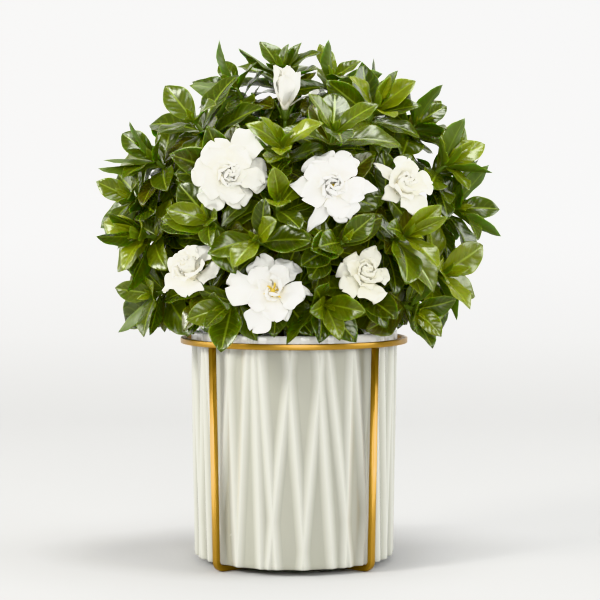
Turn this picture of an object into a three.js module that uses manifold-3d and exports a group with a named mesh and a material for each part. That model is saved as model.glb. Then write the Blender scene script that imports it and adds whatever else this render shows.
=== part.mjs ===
// A gardenia in bloom: woody stems, leafy shoots and double white flowers, growing in a glazed planter with a
// folded relief, which stands in a frame of square gold bar.
// Millimetres, +Z up. The origin is on the floor under the planter's axis, and the front faces -Y.

import * as THREE from "three";
import { mergeVertices } from "three/addons/utils/BufferGeometryUtils.js";
import Module from "manifold-3d";

const wasm = await Module();
wasm.setup();

// Gap left where one piece rests on another.
const SEAT = 0.3;

// Fused pieces keep no edge shorter than this.
const SHORTEST_EDGE = 0.02;
const THICKENING = 0.006;
const MOST_TRIES = 36;

// The frame of square bar: a ring on two hoops that cross under the planter.
const BAR = 4.8;
const STAND = { ringRadius: 94, footRadius: 90, ringDrop: 6, bendRadius: 7, ringSides: 48 };

// The planter, which stands on the crossed bars.
const PLANTER = { topRadius: 88, bottomRadius: 85, height: 191, wall: 6, floor: 8, boreSides: 32 };
const PLANTER_FOOT = BAR + SEAT;
const RIM_Z = PLANTER_FOOT + PLANTER.height;

// Its folds run from foot to rim, each a little off upright, and the higher of two folds shows where they cross.
const FOLDS = { count: 48, depth: 2.6, steepness: 0.42, leastSlant: 5, mostSlant: 24, seed: 12 };
const FOLD_GRID = { columns: 128, rows: 3 };

// Potting mix, crowned a little in the middle.
const SOIL = { belowRim: 20, crown: 5 };

// Three woody stems, each in a plain hole in the potting mix.
const STEM = {
  footRadius: 5.2, topRadius: 2.6, sides: 8, depth: 45, holeGap: 0.5,
  footReach: 15, topReach: 44, topAboveRim: 92, firstFork: 6, twigRadius: 2, twigSides: 4,
};
const STEM_HEADINGS = [-90, 30, 150];

// The foliage fills a dome. These are the half sizes of the surface that the shoots' tips lie on.
const DOME = { middleZ: 292, halfWidth: 131, halfDepth: 122, rise: 112, fall: 150 };

// A leafy shoot: a green stalk with its leaves in whorls of three.
const SHOOT = { stalk: 32, rootRadius: 2.2, tipRadius: 1.6, sides: 4, whorlStep: 9, whorlLeaves: 3 };
const LEAF = { length: 50, width: 0.53, ribThickness: 1.2, stations: [0.36, 0.72] };

// Cubes that each piece claims, so that no leaf enters another.
const CUBE = 3.2;

// Petals in whorls, from the outermost in: how many, their size, and how far they lean from the bloom's axis.
const PETAL = { thickness: 1.3, stations: [0.58, 0.88] };
const BLOOM_FORMS = {
  open: {
    reach: 11, core: 8, clear: 25,
    whorls: [
      { count: 6, length: 29, width: 30, lean: 74, bend: 22, cup: 10, rise: 2 },
      { count: 5, length: 25, width: 27, lean: 55, bend: 6, cup: 16, rise: 4 },
      { count: 4, length: 18, width: 19, lean: 33, bend: -24, cup: 26, rise: 6 },
    ],
  },
  half: {
    reach: 12, core: 8, clear: 18,
    whorls: [
      { count: 5, length: 23, width: 26, lean: 62, bend: 20, cup: 12, rise: 2 },
      { count: 4, length: 21, width: 22, lean: 38, bend: -10, cup: 22, rise: 4 },
      { count: 3, length: 16, width: 13, lean: 18, bend: -30, cup: 34, rise: 6 },
    ],
  },
  bud: {
    reach: 16, core: 7, clear: 9,
    whorls: [
      { count: 1, length: 27, width: 11, lean: 50, bend: 14, cup: 14, rise: 2 },
      { count: 4, length: 33, width: 22, lean: 42, bend: -62, cup: 26, rise: 3 },
      { count: 3, length: 31, width: 15, lean: 20, bend: -34, cup: 36, rise: 5 },
    ],
  },
};
const CALYX = { radius: 4.2, length: 9, sides: 8 };
const CORE_RADIUS = 4.4;

// Small vector sums on plain arrays, and a repeatable stream of draws from 0 to 1.

const TAU = 2 * Math.PI;
const radians = (degrees) => (degrees * Math.PI) / 180;
const plus = (a, b, share = 1) => [a[0] + b[0] * share, a[1] + b[1] * share, a[2] + b[2] * share];
const dot = (a, b) => a[0] * b[0] + a[1] * b[1] + a[2] * b[2];
const cross = (a, b) => [
  a[1] * b[2] - a[2] * b[1],
  a[2] * b[0] - a[0] * b[2],
  a[0] * b[1] - a[1] * b[0],
];
const unit = (a) => {
  const length = Math.sqrt(dot(a, a));
  return [a[0] / length, a[1] / length, a[2] / length];
};
const blend = (a, shareA, b, shareB) => [
  a[0] * shareA + b[0] * shareB,
  a[1] * shareA + b[1] * shareB,
  a[2] * shareA + b[2] * shareB,
];
const UP = [0, 0, 1];

function draws(seed) {
  let state = seed >>> 0;
  return () => {
    state = (Math.imul(state, 1664525) + 1013904223) >>> 0;
    return state / 4294967296;
  };
}

// Solids and meshes.

function solidOf(geometry) {
  const plain = new THREE.BufferGeometry();
  const source = geometry.index ? geometry.toNonIndexed() : geometry;
  plain.setAttribute("position", source.getAttribute("position"));
  const merged = mergeVertices(plain, 1e-4);
  const triVerts = new Uint32Array(merged.index.array);
  const made = () => new wasm.Manifold(new wasm.Mesh({
    numProp: 3,
    vertProperties: merged.attributes.position.array,
    triVerts,
  }));
  const solid = made();
  if (solid.volume() > 0) return solid;
  for (let i = 0; i < triVerts.length; i += 3) {
    [triVerts[i + 1], triVerts[i + 2]] = [triVerts[i + 2], triVerts[i + 1]];
  }
  return made();
}

function geometryOf(solid) {
  const { vertProperties, triVerts } = solid.getMesh();
  const geometry = new THREE.BufferGeometry();
  geometry.setAttribute("position", new THREE.BufferAttribute(vertProperties, 3));
  geometry.setIndex(new THREE.BufferAttribute(triVerts, 1));
  geometry.computeVertexNormals();
  return geometry;
}

function indexed(points, triangles) {
  const geometry = new THREE.BufferGeometry();
  geometry.setAttribute("position", new THREE.Float32BufferAttribute(points.flat(), 3));
  geometry.setIndex(triangles);
  return geometry;
}

function shortestEdge(solid) {
  const { vertProperties, triVerts } = solid.getMesh();
  const corner = (i) => vertProperties.subarray(3 * triVerts[i], 3 * triVerts[i] + 3);
  let shortest = Infinity;
  for (let i = 0; i < triVerts.length; i += 3) {
    for (let side = 0; side < 3; side++) {
      const [a, b] = [corner(i + side), corner(i + ((side + 1) % 3))];
      shortest = Math.min(shortest, Math.hypot(a[0] - b[0], a[1] - b[1], a[2] - b[2]));
    }
  }
  return shortest;
}

// Joins solids that hold together, and drops a scrap that a cut has left loose. makeSolids takes a factor near 1 on
// their thickness, which is raised by a hair until no cut leaves an edge too short to keep, or the best try is kept.
function fused(makeSolids) {
  let best = { shortest: 0 };
  for (let tries = 0; tries < MOST_TRIES && best.shortest < SHORTEST_EDGE; tries++) {
    const whole = wasm.Manifold.union(makeSolids(1 + tries * THICKENING)).simplify(0.02);
    const body = whole.decompose().sort((a, b) => b.volume() - a.volume())[0];
    const shortest = shortestEdge(body);
    if (shortest > best.shortest) best = { shortest, body };
  }
  return best.body;
}

// Two directions square to an axis.
function sideways(axis) {
  const first = unit(cross(Math.abs(axis[2]) < 0.9 ? UP : [0, 1, 0], axis));
  return [first, cross(axis, first)];
}

// A round bar that narrows along a line of points. Its far end may be cut square to a given direction.
function taperedBar(points, radii, sides, endAxis) {
  const last = points.length - 1;
  const rings = points.map((point, i) => {
    const chord = plus(points[Math.min(i + 1, last)], points[Math.max(i - 1, 0)], -1);
    const along = i === last && endAxis ? endAxis : unit(chord);
    const [first, second] = sideways(along);
    return Array.from({ length: sides }, (_, k) => {
      const angle = (TAU * k) / sides;
      return plus(plus(point, first, radii[i] * Math.cos(angle)), second, radii[i] * Math.sin(angle));
    });
  });
  const triangles = [];
  for (let i = 0; i + 1 < rings.length; i++) {
    for (let k = 0; k < sides; k++) {
      const next = (k + 1) % sides;
      const [a, b] = [i * sides + k, i * sides + next];
      triangles.push(a, b, b + sides, a, b + sides, a + sides);
    }
  }
  const end = last * sides;
  for (let k = 1; k + 1 < sides; k++) triangles.push(0, k + 1, k, end, end + k, end + k + 1);
  return solidOf(indexed(rings.flat(), triangles));
}

// The planter: a turned wall with its folds raised from it, and a plain bore.

function foldLines() {
  const draw = draws(FOLDS.seed);
  return Array.from({ length: FOLDS.count }, (_, k) => {
    const slant = FOLDS.leastSlant + (FOLDS.mostSlant - FOLDS.leastSlant) * draw();
    return { turn: (k + 0.5 * draw()) / FOLDS.count, slant: [0, 2].includes(k % 5) ? slant : -slant };
  });
}

const foldedLines = foldLines();

function foldHeight(turn, rise) {
  const round = TAU * PLANTER.topRadius;
  let height = 0;
  for (const line of foldedLines) {
    let away = turn - line.turn - ((rise - 0.5) * line.slant) / round;
    away = Math.abs(away - Math.round(away)) * round;
    height = Math.max(height, FOLDS.depth - FOLDS.steepness * away);
  }
  return height;
}

function planter() {
  const { topRadius, bottomRadius, height, wall, floor, boreSides } = PLANTER;
  const outside = [new THREE.Vector2(0, PLANTER_FOOT)];
  for (let row = 0; row <= FOLD_GRID.rows; row++) {
    const rise = row / FOLD_GRID.rows;
    outside.push(new THREE.Vector2(bottomRadius + (topRadius - bottomRadius) * rise, PLANTER_FOOT + height * rise));
  }
  outside.push(new THREE.Vector2(0, RIM_Z));
  const body = new THREE.LatheGeometry(outside, FOLD_GRID.columns).rotateX(Math.PI / 2);
  const places = body.getAttribute("position");
  for (let i = 0; i < places.count; i++) {
    const [x, y, z] = [places.getX(i), places.getY(i), places.getZ(i)];
    const radius = Math.hypot(x, y);
    if (radius < 1) continue;
    const turn = Math.atan2(y, x) / TAU;
    const share = (radius - FOLDS.depth + foldHeight(turn, (z - PLANTER_FOOT) / height)) / radius;
    places.setXYZ(i, x * share, y * share, z);
  }
  const bore = new THREE.LatheGeometry([
    new THREE.Vector2(0, PLANTER_FOOT + floor),
    new THREE.Vector2(bottomRadius - wall, PLANTER_FOOT + floor),
    new THREE.Vector2(topRadius - wall, RIM_Z),
    new THREE.Vector2(topRadius - wall, RIM_Z + 1),
    new THREE.Vector2(0, RIM_Z + 1),
  ], boreSides).rotateX(Math.PI / 2);
  return solidOf(body).subtract(solidOf(bore));
}

// The stand.

function standRing() {
  const [low, high] = [RIM_Z - STAND.ringDrop - BAR, RIM_Z - STAND.ringDrop];
  const [inner, outer] = [STAND.ringRadius - BAR / 2, STAND.ringRadius + BAR / 2];
  const section = [[inner, low], [outer, low], [outer, high], [inner, high], [inner, low]];
  return solidOf(new THREE.LatheGeometry(
    section.map(([r, z]) => new THREE.Vector2(r, z)), STAND.ringSides,
  ).rotateX(Math.PI / 2));
}

// The centreline of half a hoop, from the middle of the floor out round the bend and up to the ring.
function hoopLine(from) {
  const top = RIM_Z - STAND.ringDrop - BAR - SEAT;
  const corner = STAND.footRadius - STAND.bendRadius;
  const line = [[from, BAR / 2]];
  for (let step = 0; step <= 4; step++) {
    const angle = (Math.PI / 2) * (step / 4);
    line.push([
      corner + STAND.bendRadius * Math.sin(angle),
      BAR / 2 + STAND.bendRadius * (1 - Math.cos(angle)),
    ]);
  }
  line.push([STAND.ringRadius, top]);
  return line;
}

function bentBar(line, heading) {
  const side = (sign) => line.map(([x, z], i) => {
    const [before, after] = [line[Math.max(i - 1, 0)], line[Math.min(i + 1, line.length - 1)]];
    const [dx, dz] = [after[0] - before[0], after[1] - before[1]];
    const length = Math.hypot(dx, dz);
    return new THREE.Vector2(x - (sign * dz * BAR) / 2 / length, z + (sign * dx * BAR) / 2 / length);
  });
  const outline = new THREE.Shape([...side(1), ...side(-1).reverse()]);
  return solidOf(new THREE.ExtrudeGeometry(outline, { depth: BAR, bevelEnabled: false })
    .translate(0, 0, -BAR / 2)
    .rotateX(Math.PI / 2)
    .rotateZ(radians(heading)));
}

function wholeHoop(heading) {
  const right = hoopLine(0).slice(1);
  const left = right.map(([x, z]) => [-x, z]).reverse();
  return bentBar([...left, ...right], heading);
}

const halfHoop = (heading) => bentBar(hoopLine(BAR / 2 + SEAT), heading);

// Potting mix, with a hole for each stem.

function stemFoot(heading) {
  const angle = radians(heading);
  return [STEM.footReach * Math.cos(angle), STEM.footReach * Math.sin(angle)];
}

function soil() {
  const low = PLANTER_FOOT + PLANTER.floor + SEAT;
  const high = RIM_Z - SOIL.belowRim;
  const radiusAt = (z) => PLANTER.bottomRadius - PLANTER.wall - SEAT
    + ((PLANTER.topRadius - PLANTER.bottomRadius) * (z - PLANTER_FOOT - PLANTER.floor))
    / (PLANTER.height - PLANTER.floor);
  const mix = solidOf(new THREE.LatheGeometry([
    new THREE.Vector2(0, low),
    new THREE.Vector2(radiusAt(low), low),
    new THREE.Vector2(radiusAt(high), high),
    new THREE.Vector2(radiusAt(high) * 0.55, high + SOIL.crown * 0.7),
    new THREE.Vector2(0, high + SOIL.crown),
  ], PLANTER.boreSides).rotateX(Math.PI / 2));
  const holes = STEM_HEADINGS.map((heading) => {
    const [x, y] = stemFoot(heading);
    const bottom = high - STEM.depth - SEAT;
    return solidOf(new THREE.CylinderGeometry(
      STEM.footRadius + STEM.holeGap, STEM.footRadius + STEM.holeGap, STEM.depth + 20, STEM.sides,
    ).rotateX(Math.PI / 2).translate(x, y, bottom + (STEM.depth + 20) / 2));
  });
  return mix.subtract(wasm.Manifold.union(holes));
}

// Leaves and petals are blades. t runs from a blade's root (0) to its tip (1), and s from its left margin (-1) over
// the midrib (0) to its right margin (1).

const leafOutline = (t) => Math.sin(Math.PI * t ** 1.15) ** 0.9;
const petalOutline = (t) => (t ** 1.1 * Math.sqrt(1 - t ** 5)) / 0.642;

function bladeFrame(blade, t) {
  const angle = blade.bend * t;
  const [run, drop] = Math.abs(blade.bend) < 1e-6
    ? [t, 0]
    : [Math.sin(angle) / blade.bend, (1 - Math.cos(angle)) / blade.bend];
  const spine = plus(plus(blade.root, blade.along, blade.length * run), blade.up, -blade.length * drop);
  return { spine, normal: blend(blade.up, Math.cos(angle), blade.along, Math.sin(angle)) };
}

function bladePoint(blade, t, s) {
  const { spine, normal } = bladeFrame(blade, t);
  const half = (blade.width / 2) * blade.outline(t);
  const wave = blade.wave * Math.sin(TAU * blade.waves * t + blade.phase * (s < 0 ? 1 : 2));
  const raised = Math.abs(s) * half * (Math.sin(blade.fold) + wave);
  return plus(plus(spine, blade.side, s * half * Math.cos(blade.fold)), normal, raised);
}

// The blade as a solid that is thickest on its midrib, with the same triangles on both faces.
function bladeSolid(blade, thickness) {
  const { stations } = blade;
  const points = [bladePoint(blade, 0, 0)];
  for (const t of stations) {
    const middle = bladePoint(blade, t, 0);
    const { normal } = bladeFrame(blade, t);
    points.push(bladePoint(blade, t, -1), plus(middle, normal, thickness / 2));
    points.push(bladePoint(blade, t, 1), plus(middle, normal, -thickness / 2));
  }
  const tip = points.length;
  points.push(bladePoint(blade, 1, 0));
  const triangles = [];
  for (let corner = 0; corner < 4; corner++) {
    const next = (corner + 1) % 4;
    triangles.push(0, 1 + next, 1 + corner);
    for (let station = 0; station + 1 < stations.length; station++) {
      const [a, b] = [1 + station * 4 + corner, 1 + station * 4 + next];
      if (corner % 2) triangles.push(a, b, a + 4, b, b + 4, a + 4);
      else triangles.push(a, b, b + 4, a, b + 4, a + 4);
    }
    triangles.push(tip - 4 + corner, tip - 4 + next, tip);
  }
  return solidOf(indexed(points, triangles));
}

// The cubes of space that are taken, and by which piece.

const taken = new Map();
const NEIGHBOURS = [[0, 0, 0], [1, 0, 0], [-1, 0, 0], [0, 1, 0], [0, -1, 0], [0, 0, 1], [0, 0, -1]];
const cubeOf = (point) => point.map((v) => Math.floor(v / CUBE) + 500);
const cubeKey = ([x, y, z]) => (x * 1000 + y) * 1000 + z;

function claim(samples, owner) {
  for (const { point } of samples) {
    const key = cubeKey(cubeOf(point));
    if (!taken.has(key)) taken.set(key, owner);
  }
}

// Pieces with the same hundreds in their number belong to one shoot: near their roots they may touch.
function isFree(samples, owner) {
  for (const { point, t } of samples) {
    if (tooLow(point)) return false;
    const [x, y, z] = cubeOf(point);
    for (const [dx, dy, dz] of NEIGHBOURS) {
      const other = taken.get(cubeKey([x + dx, y + dy, z + dz]));
      if (other === undefined || other === owner) continue;
      const related = Math.floor(other / 100) === Math.floor(owner / 100);
      if (!related) return false;
      if (t > 0.4 && dx === 0 && dy === 0 && dz === 0) return false;
    }
  }
  return true;
}

// The leaves stay out of the planter and hang little lower than its rim.
function tooLow([x, y, z]) {
  return z < RIM_Z - 4 || (z < RIM_Z + 3 && Math.hypot(x, y) < STAND.ringRadius + BAR / 2 + 3);
}

function bladeSamples(blade) {
  const samples = [];
  const steps = Math.ceil(blade.length / 3.2);
  for (let i = 1; i <= steps; i++) {
    const t = i / steps;
    const across = Math.max(1, Math.ceil((blade.width * blade.outline(Math.min(t, 0.98))) / 6.4));
    for (let k = -across; k <= across; k++) samples.push({ point: bladePoint(blade, t, k / across), t });
  }
  return samples;
}

function barSamples(points) {
  const samples = [];
  for (let i = 0; i + 1 < points.length; i++) {
    const steps = Math.ceil(Math.hypot(...plus(points[i + 1], points[i], -1)) / 2.5);
    for (let k = 0; k <= steps; k++) {
      samples.push({ point: blend(points[i], 1 - k / steps, points[i + 1], k / steps), t: 0 });
    }
  }
  return samples;
}

// Where the shoots' tips are. Those in front are placed by how far right of the axis and how high they are, and lie
// on the dome. A lean is added to the way that the dome faces there.

function domeDepth(x, z) {
  const tall = z > DOME.middleZ ? DOME.rise : DOME.fall;
  const left = 1 - (x / DOME.halfWidth) ** 2 - ((z - DOME.middleZ) / tall) ** 2;
  return DOME.halfDepth * Math.sqrt(Math.max(0, left));
}

function domeFacing([x, y, z]) {
  const tall = z > DOME.middleZ ? DOME.rise : DOME.fall;
  return unit([x / DOME.halfWidth ** 2, y / DOME.halfDepth ** 2, (z - DOME.middleZ) / tall ** 2]);
}

const leafyShoot = (x, y, z, lean, leafLength = LEAF.length) => {
  const tip = [x, y, z];
  return { tip, axis: unit(plus(domeFacing(tip), lean)), leafLength, whorls: 3 };
};
const frontShoot = (x, z, lean, leafLength) => leafyShoot(x, -domeDepth(x, z), z, lean, leafLength);

// A flowering shoot is placed by the middle of its bloom, which stands a little proud of the leaves.
function floweringShoot(form, x, z, facing, depth = domeDepth(x, z) + 6) {
  const axis = unit(facing);
  const base = plus([x, -depth, z], axis, -BLOOM_FORMS[form].reach);
  const tip = plus(base, axis, -CALYX.length - SEAT - 5);
  return { tip, axis, leafLength: 44, whorls: 2, bloom: { form, base } };
}

const BACK_SHOOTS = 12;

function backShoot(k) {
  const z = 208 + 180 * ((k + 0.5) / BACK_SHOOTS);
  const turn = radians(8 + 164 * ((k * 0.618034 + 0.3) % 1));
  const tall = z > DOME.middleZ ? DOME.rise : DOME.fall;
  const share = Math.sqrt(1 - ((z - DOME.middleZ) / tall) ** 2);
  return leafyShoot(
    DOME.halfWidth * share * Math.cos(turn), DOME.halfDepth * share * Math.sin(turn), z, [0, 0, 0.35],
  );
}

const shoots = [
  floweringShoot("open", -51, 326, [0.12, -1, 0.02]),
  floweringShoot("open", 31, 316, [0.08, -1, 0.1]),
  floweringShoot("half", 88, 319, [0.35, -0.9, 0.3]),
  floweringShoot("half", -84, 251, [-0.45, -0.7, 0.55]),
  floweringShoot("open", -16, 234, [-0.12, -1, 0.1]),
  floweringShoot("half", 57, 247, [0.12, -0.9, 0.4]),
  floweringShoot("bud", -7, 397, [0.02, -0.3, 1], 20),
  leafyShoot(-10, 16, 412, [0, -0.9, 0.5], 48),
  leafyShoot(32, 12, 406, [0.15, -0.8, 0.4], 44),
  leafyShoot(-48, 6, 400, [-0.35, -0.8, 0.4], 48),
  frontShoot(-80, 368, [-0.2, -0.5, 0.3], 54),
  frontShoot(32, 358, [0.05, -0.2, 0.6], 56),
  leafyShoot(66, -30, 378, [0.1, -0.7, 0.3], 52),
  leafyShoot(102, -2, 368, [0.15, -0.8, 0.3], 48),
  leafyShoot(126, -18, 334, [0.1, -0.8, 0.4], 52),
  frontShoot(-114, 338, [-0.1, -0.6, 0.4], 50),
  leafyShoot(-134, -8, 306, [-0.1, -0.9, 0.3], 52),
  frontShoot(-122, 276, [-0.1, -0.6, 0.3], 50),
  frontShoot(-114, 228, [-0.1, -0.7, 0.15], 54),
  frontShoot(-66, 288, [-0.1, 0, 0.5], 48),
  frontShoot(-28, 274, [-0.2, 0, 0.35], 50),
  frontShoot(-8, 346, [-0.1, -0.2, 0.5], 50),
  frontShoot(38, 272, [0.2, 0, 0.4], 50),
  frontShoot(88, 276, [0.2, -0.2, 0.5], 52),
  frontShoot(122, 244, [0.1, -0.7, 0.5], 56),
  frontShoot(98, 216, [0.1, -0.5, 0.1], 50),
  frontShoot(24, 224, [0.2, 0, 0.3], 50),
  frontShoot(-50, 222, [-0.3, 0, 0.2], 46),
  leafyShoot(136, 4, 298, [0.1, -0.8, 0.3], 52),
  ...Array.from({ length: BACK_SHOOTS }, (_, k) => backShoot(k)),
  frontShoot(-12, 304, [0.15, 0, 0.9], 48),
];

// Woody stems: each leans out from its foot, and sends a twig to every shoot on its side.

const STEM_TOP_Z = RIM_Z + STEM.topAboveRim;
const STEM_FOOT_Z = RIM_Z - SOIL.belowRim - STEM.depth;

function stemPoint(heading, z) {
  const rise = Math.max(0, (z - RIM_Z) / STEM.topAboveRim);
  const reach = STEM.footReach + (STEM.topReach - STEM.footReach) * rise;
  return [reach * Math.cos(radians(heading)), reach * Math.sin(radians(heading)), z];
}

function nearestStem(shoot) {
  const turn = Math.atan2(shoot.tip[1], shoot.tip[0]);
  const apart = STEM_HEADINGS.map((heading) => -Math.cos(turn - radians(heading)));
  return apart.indexOf(Math.min(...apart));
}

function stalkLine(shoot) {
  const base = plus(shoot.tip, shoot.axis, -SHOOT.stalk);
  const end = shoot.bloom ? plus(shoot.bloom.base, shoot.axis, -CALYX.length - SEAT) : plus(shoot.tip, shoot.axis, 2);
  return [base, end];
}

function twigLine(shoot) {
  const end = plus(shoot.tip, shoot.axis, -SHOOT.stalk - SEAT);
  const straight = Math.hypot(end[0], end[1]);
  const forkZ = Math.min(STEM_TOP_Z - 3, Math.max(RIM_Z + STEM.firstFork, end[2] - 0.75 * straight));
  const start = stemPoint(STEM_HEADINGS[nearestStem(shoot)], forkZ);
  const bow = plus(end, shoot.axis, -0.45 * Math.hypot(...plus(end, start, -1)));
  return [0, 0.5, 1].map((t) => plus(blend(start, (1 - t) ** 2, bow, 2 * t * (1 - t)), end, t ** 2));
}

function woodyStem(index) {
  const heading = STEM_HEADINGS[index];
  const levels = [STEM_FOOT_Z, RIM_Z, RIM_Z + STEM.topAboveRim / 2, STEM_TOP_Z];
  const trunk = levels.map((z) => stemPoint(heading, z));
  const radii = levels.map((_, i) => STEM.footRadius + (STEM.topRadius - STEM.footRadius) * (i / 3));
  const own = shoots.filter((shoot) => nearestStem(shoot) === index);
  const { twigRadius, twigSides, sides } = STEM;
  return fused((factor) => [
    taperedBar(trunk, radii, sides),
    ...own.map((shoot) => {
      const twigRadii = [twigRadius + 0.5, twigRadius + 0.2, twigRadius].map((radius) => radius * factor);
      return taperedBar(twigLine(shoot), twigRadii, twigSides, shoot.axis);
    }),
  ]);
}

// Leaves: in whorls down the stalk, each turned aside, lifted or shortened until it is clear of all the rest.

const TURNS = [0, 12, -12, 24, -24, 36, -36];
const LIFTS = [0, -14, 12, -28];
const SHORTER = [1, 0.85, 0.7];

function leafBlade(shoot, whorl, place, turn, lift, shorter, draw) {
  const [first, second] = sideways(shoot.axis);
  const heading = radians((360 * place) / SHOOT.whorlLeaves + 60 * whorl + 50 * draw[0] + turn);
  const away = radians([76, 58, 34][whorl] + 12 * (draw[1] - 0.5) + lift);
  const outward = blend(first, Math.cos(heading), second, Math.sin(heading));
  const straight = blend(shoot.axis, Math.cos(away), outward, Math.sin(away));
  const along = unit(plus(straight, UP, -0.12));
  const facing = plus(blend(shoot.axis, Math.sin(away), outward, -Math.cos(away)), UP, 0.3);
  const side = unit(cross(along, facing));
  const length = shoot.leafLength * [0.94, 1, 0.78][whorl] * (0.88 + 0.24 * draw[2]) * shorter;
  return {
    root: plus(plus(shoot.tip, shoot.axis, -SHOOT.whorlStep * (2 - whorl) - 1), outward, 0.35),
    along, side, up: cross(side, along), length,
    width: length * LEAF.width * (0.92 + 0.16 * draw[3]),
    outline: leafOutline,
    stations: LEAF.stations,
    bend: radians(18 + 34 * draw[4]),
    fold: radians(8 + 11 * draw[5]),
    wave: 0.1, waves: 2.2, phase: TAU * draw[6],
  };
}

function placeLeaf(shoot, index, whorl, place) {
  const stream = draws(7000 + index * 97 + whorl * 13 + place);
  const draw = Array.from({ length: 7 }, () => stream());
  const owner = index * 100 + whorl * 10 + place;
  for (const shorter of SHORTER) {
    for (const lift of LIFTS) {
      for (const turn of TURNS) {
        const blade = leafBlade(shoot, whorl, place, turn, lift, shorter, draw);
        const samples = bladeSamples(blade);
        if (!isFree(samples, owner)) continue;
        claim(samples, owner);
        return blade;
      }
    }
  }
  return null;
}

// Blooms.

function bloomPetals(shoot, index) {
  const { form, base } = shoot.bloom;
  const [first, second] = sideways(shoot.axis);
  const stream = draws(3000 + index * 31);
  const petals = [];
  BLOOM_FORMS[form].whorls.forEach((whorl, level) => {
    for (let k = 0; k < whorl.count; k++) {
      const draw = Array.from({ length: 6 }, () => stream());
      const heading = radians((360 * (k + 0.5 * level)) / whorl.count + 8 * (draw[0] - 0.5) + 25 * level);
      const lean = radians(whorl.lean + 9 * (draw[1] - 0.5));
      const roll = radians(12 + 8 * (draw[2] - 0.5));
      const outward = blend(first, Math.cos(heading), second, Math.sin(heading));
      const along = blend(shoot.axis, Math.cos(lean), outward, Math.sin(lean));
      const facing = blend(shoot.axis, Math.sin(lean), outward, -Math.cos(lean));
      const level0 = cross(along, facing);
      const side = blend(level0, Math.cos(roll), facing, Math.sin(roll));
      petals.push({
        root: plus(plus(base, shoot.axis, whorl.rise), outward, 2.8),
        along, side, up: cross(side, along),
        length: whorl.length * (0.92 + 0.16 * draw[3]),
        width: whorl.width * (0.92 + 0.16 * draw[4]),
        outline: petalOutline,
        stations: PETAL.stations,
        bend: radians(whorl.bend),
        fold: radians(whorl.cup),
        wave: 0.14, waves: 1.6, phase: TAU * draw[5],
      });
    }
  });
  return petals;
}

// The space between a bloom and the front, which the leaves leave open.
function openSpace(shoot) {
  const { core, clear } = BLOOM_FORMS[shoot.bloom.form];
  const ahead = unit(plus(shoot.axis, [0, -1, 0]));
  const [first, second] = sideways(ahead);
  const middle = plus(shoot.bloom.base, shoot.axis, core);
  const samples = [];
  for (let out = 6; out <= 60; out += 3) {
    for (let radius = 0; radius <= clear; radius += 3) {
      const around = Math.max(1, Math.ceil((TAU * radius) / 3));
      for (let k = 0; k < around; k++) {
        const angle = (TAU * k) / around;
        const aside = blend(first, radius * Math.cos(angle), second, radius * Math.sin(angle));
        samples.push({ point: plus(plus(middle, ahead, out), aside), t: 0 });
      }
    }
  }
  return samples;
}

const upright = new THREE.Vector3(0, 1, 0);

// A turned shape that stands on a point, along an axis.
function turnedOn(point, axis, profile, sides) {
  const toAxis = new THREE.Quaternion().setFromUnitVectors(upright, new THREE.Vector3(...axis));
  return solidOf(new THREE.LatheGeometry(profile.map(([r, h]) => new THREE.Vector2(r, h)), sides)
    .applyQuaternion(toAxis)
    .translate(...point));
}

function bloomSolid(shoot, petals) {
  const { core } = BLOOM_FORMS[shoot.bloom.form];
  return fused((factor) => {
    const radius = CORE_RADIUS * factor;
    return [
      turnedOn(shoot.bloom.base, shoot.axis, [[0, 0], [radius - 1, 0], [radius, core], [0, core]], 6),
      ...petals.map((petal) => bladeSolid(petal, PETAL.thickness * factor)),
    ];
  });
}

function stamens(shoot) {
  const { core } = BLOOM_FORMS[shoot.bloom.form];
  const foot = plus(shoot.bloom.base, shoot.axis, core + SEAT);
  return turnedOn(foot, shoot.axis, [[0, 0], [1.3, 0], [1.2, 3], [2.1, 4], [1.7, 7.5], [0, 8.5]], 7);
}

// Everything claims its space in turn: wood, stalks, blooms with the space before them, and then the leaves, the
// uppermost whorls first.

shoots.forEach((shoot, index) => {
  claim(barSamples(twigLine(shoot)), -1 - nearestStem(shoot));
  claim(barSamples(stalkLine(shoot)), index * 100 + 99);
});
STEM_HEADINGS.forEach((heading, index) => {
  claim(barSamples([stemPoint(heading, RIM_Z), stemPoint(heading, STEM_TOP_Z)]), -1 - index);
});
shoots.forEach((shoot, index) => {
  if (!shoot.bloom) return;
  shoot.petals = bloomPetals(shoot, index);
  for (const petal of shoot.petals) claim(bladeSamples(petal), 90000 + index);
  claim(openSpace(shoot), 90000 + index);
});
for (const whorl of [2, 1, 0]) {
  shoots.forEach((shoot, index) => {
    shoot.leaves ??= [];
    if (whorl === 2 && shoot.whorls < 3) return;
    for (let place = 0; place < SHOOT.whorlLeaves; place++) {
      const leaf = placeLeaf(shoot, index, whorl, place);
      if (leaf) shoot.leaves.push(leaf);
    }
  });
}

function calyx(shoot, end) {
  const { radius, length, sides } = CALYX;
  return turnedOn(plus(end, shoot.axis, -1), shoot.axis, [
    [0, 0], [1.6, 0], [radius * 0.8, length * 0.45], [radius * 0.7, length + 1], [0, length + 1],
  ], sides);
}

function leafyPart(shoot) {
  const [base, end] = stalkLine(shoot);
  return fused((factor) => [
    taperedBar([base, end], [SHOOT.rootRadius * factor, SHOOT.tipRadius * factor], SHOOT.sides),
    ...(shoot.bloom ? [calyx(shoot, end)] : []),
    ...shoot.leaves.map((leaf) => bladeSolid(leaf, LEAF.ribThickness * factor)),
  ]);
}

// Materials and the finished group.

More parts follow.
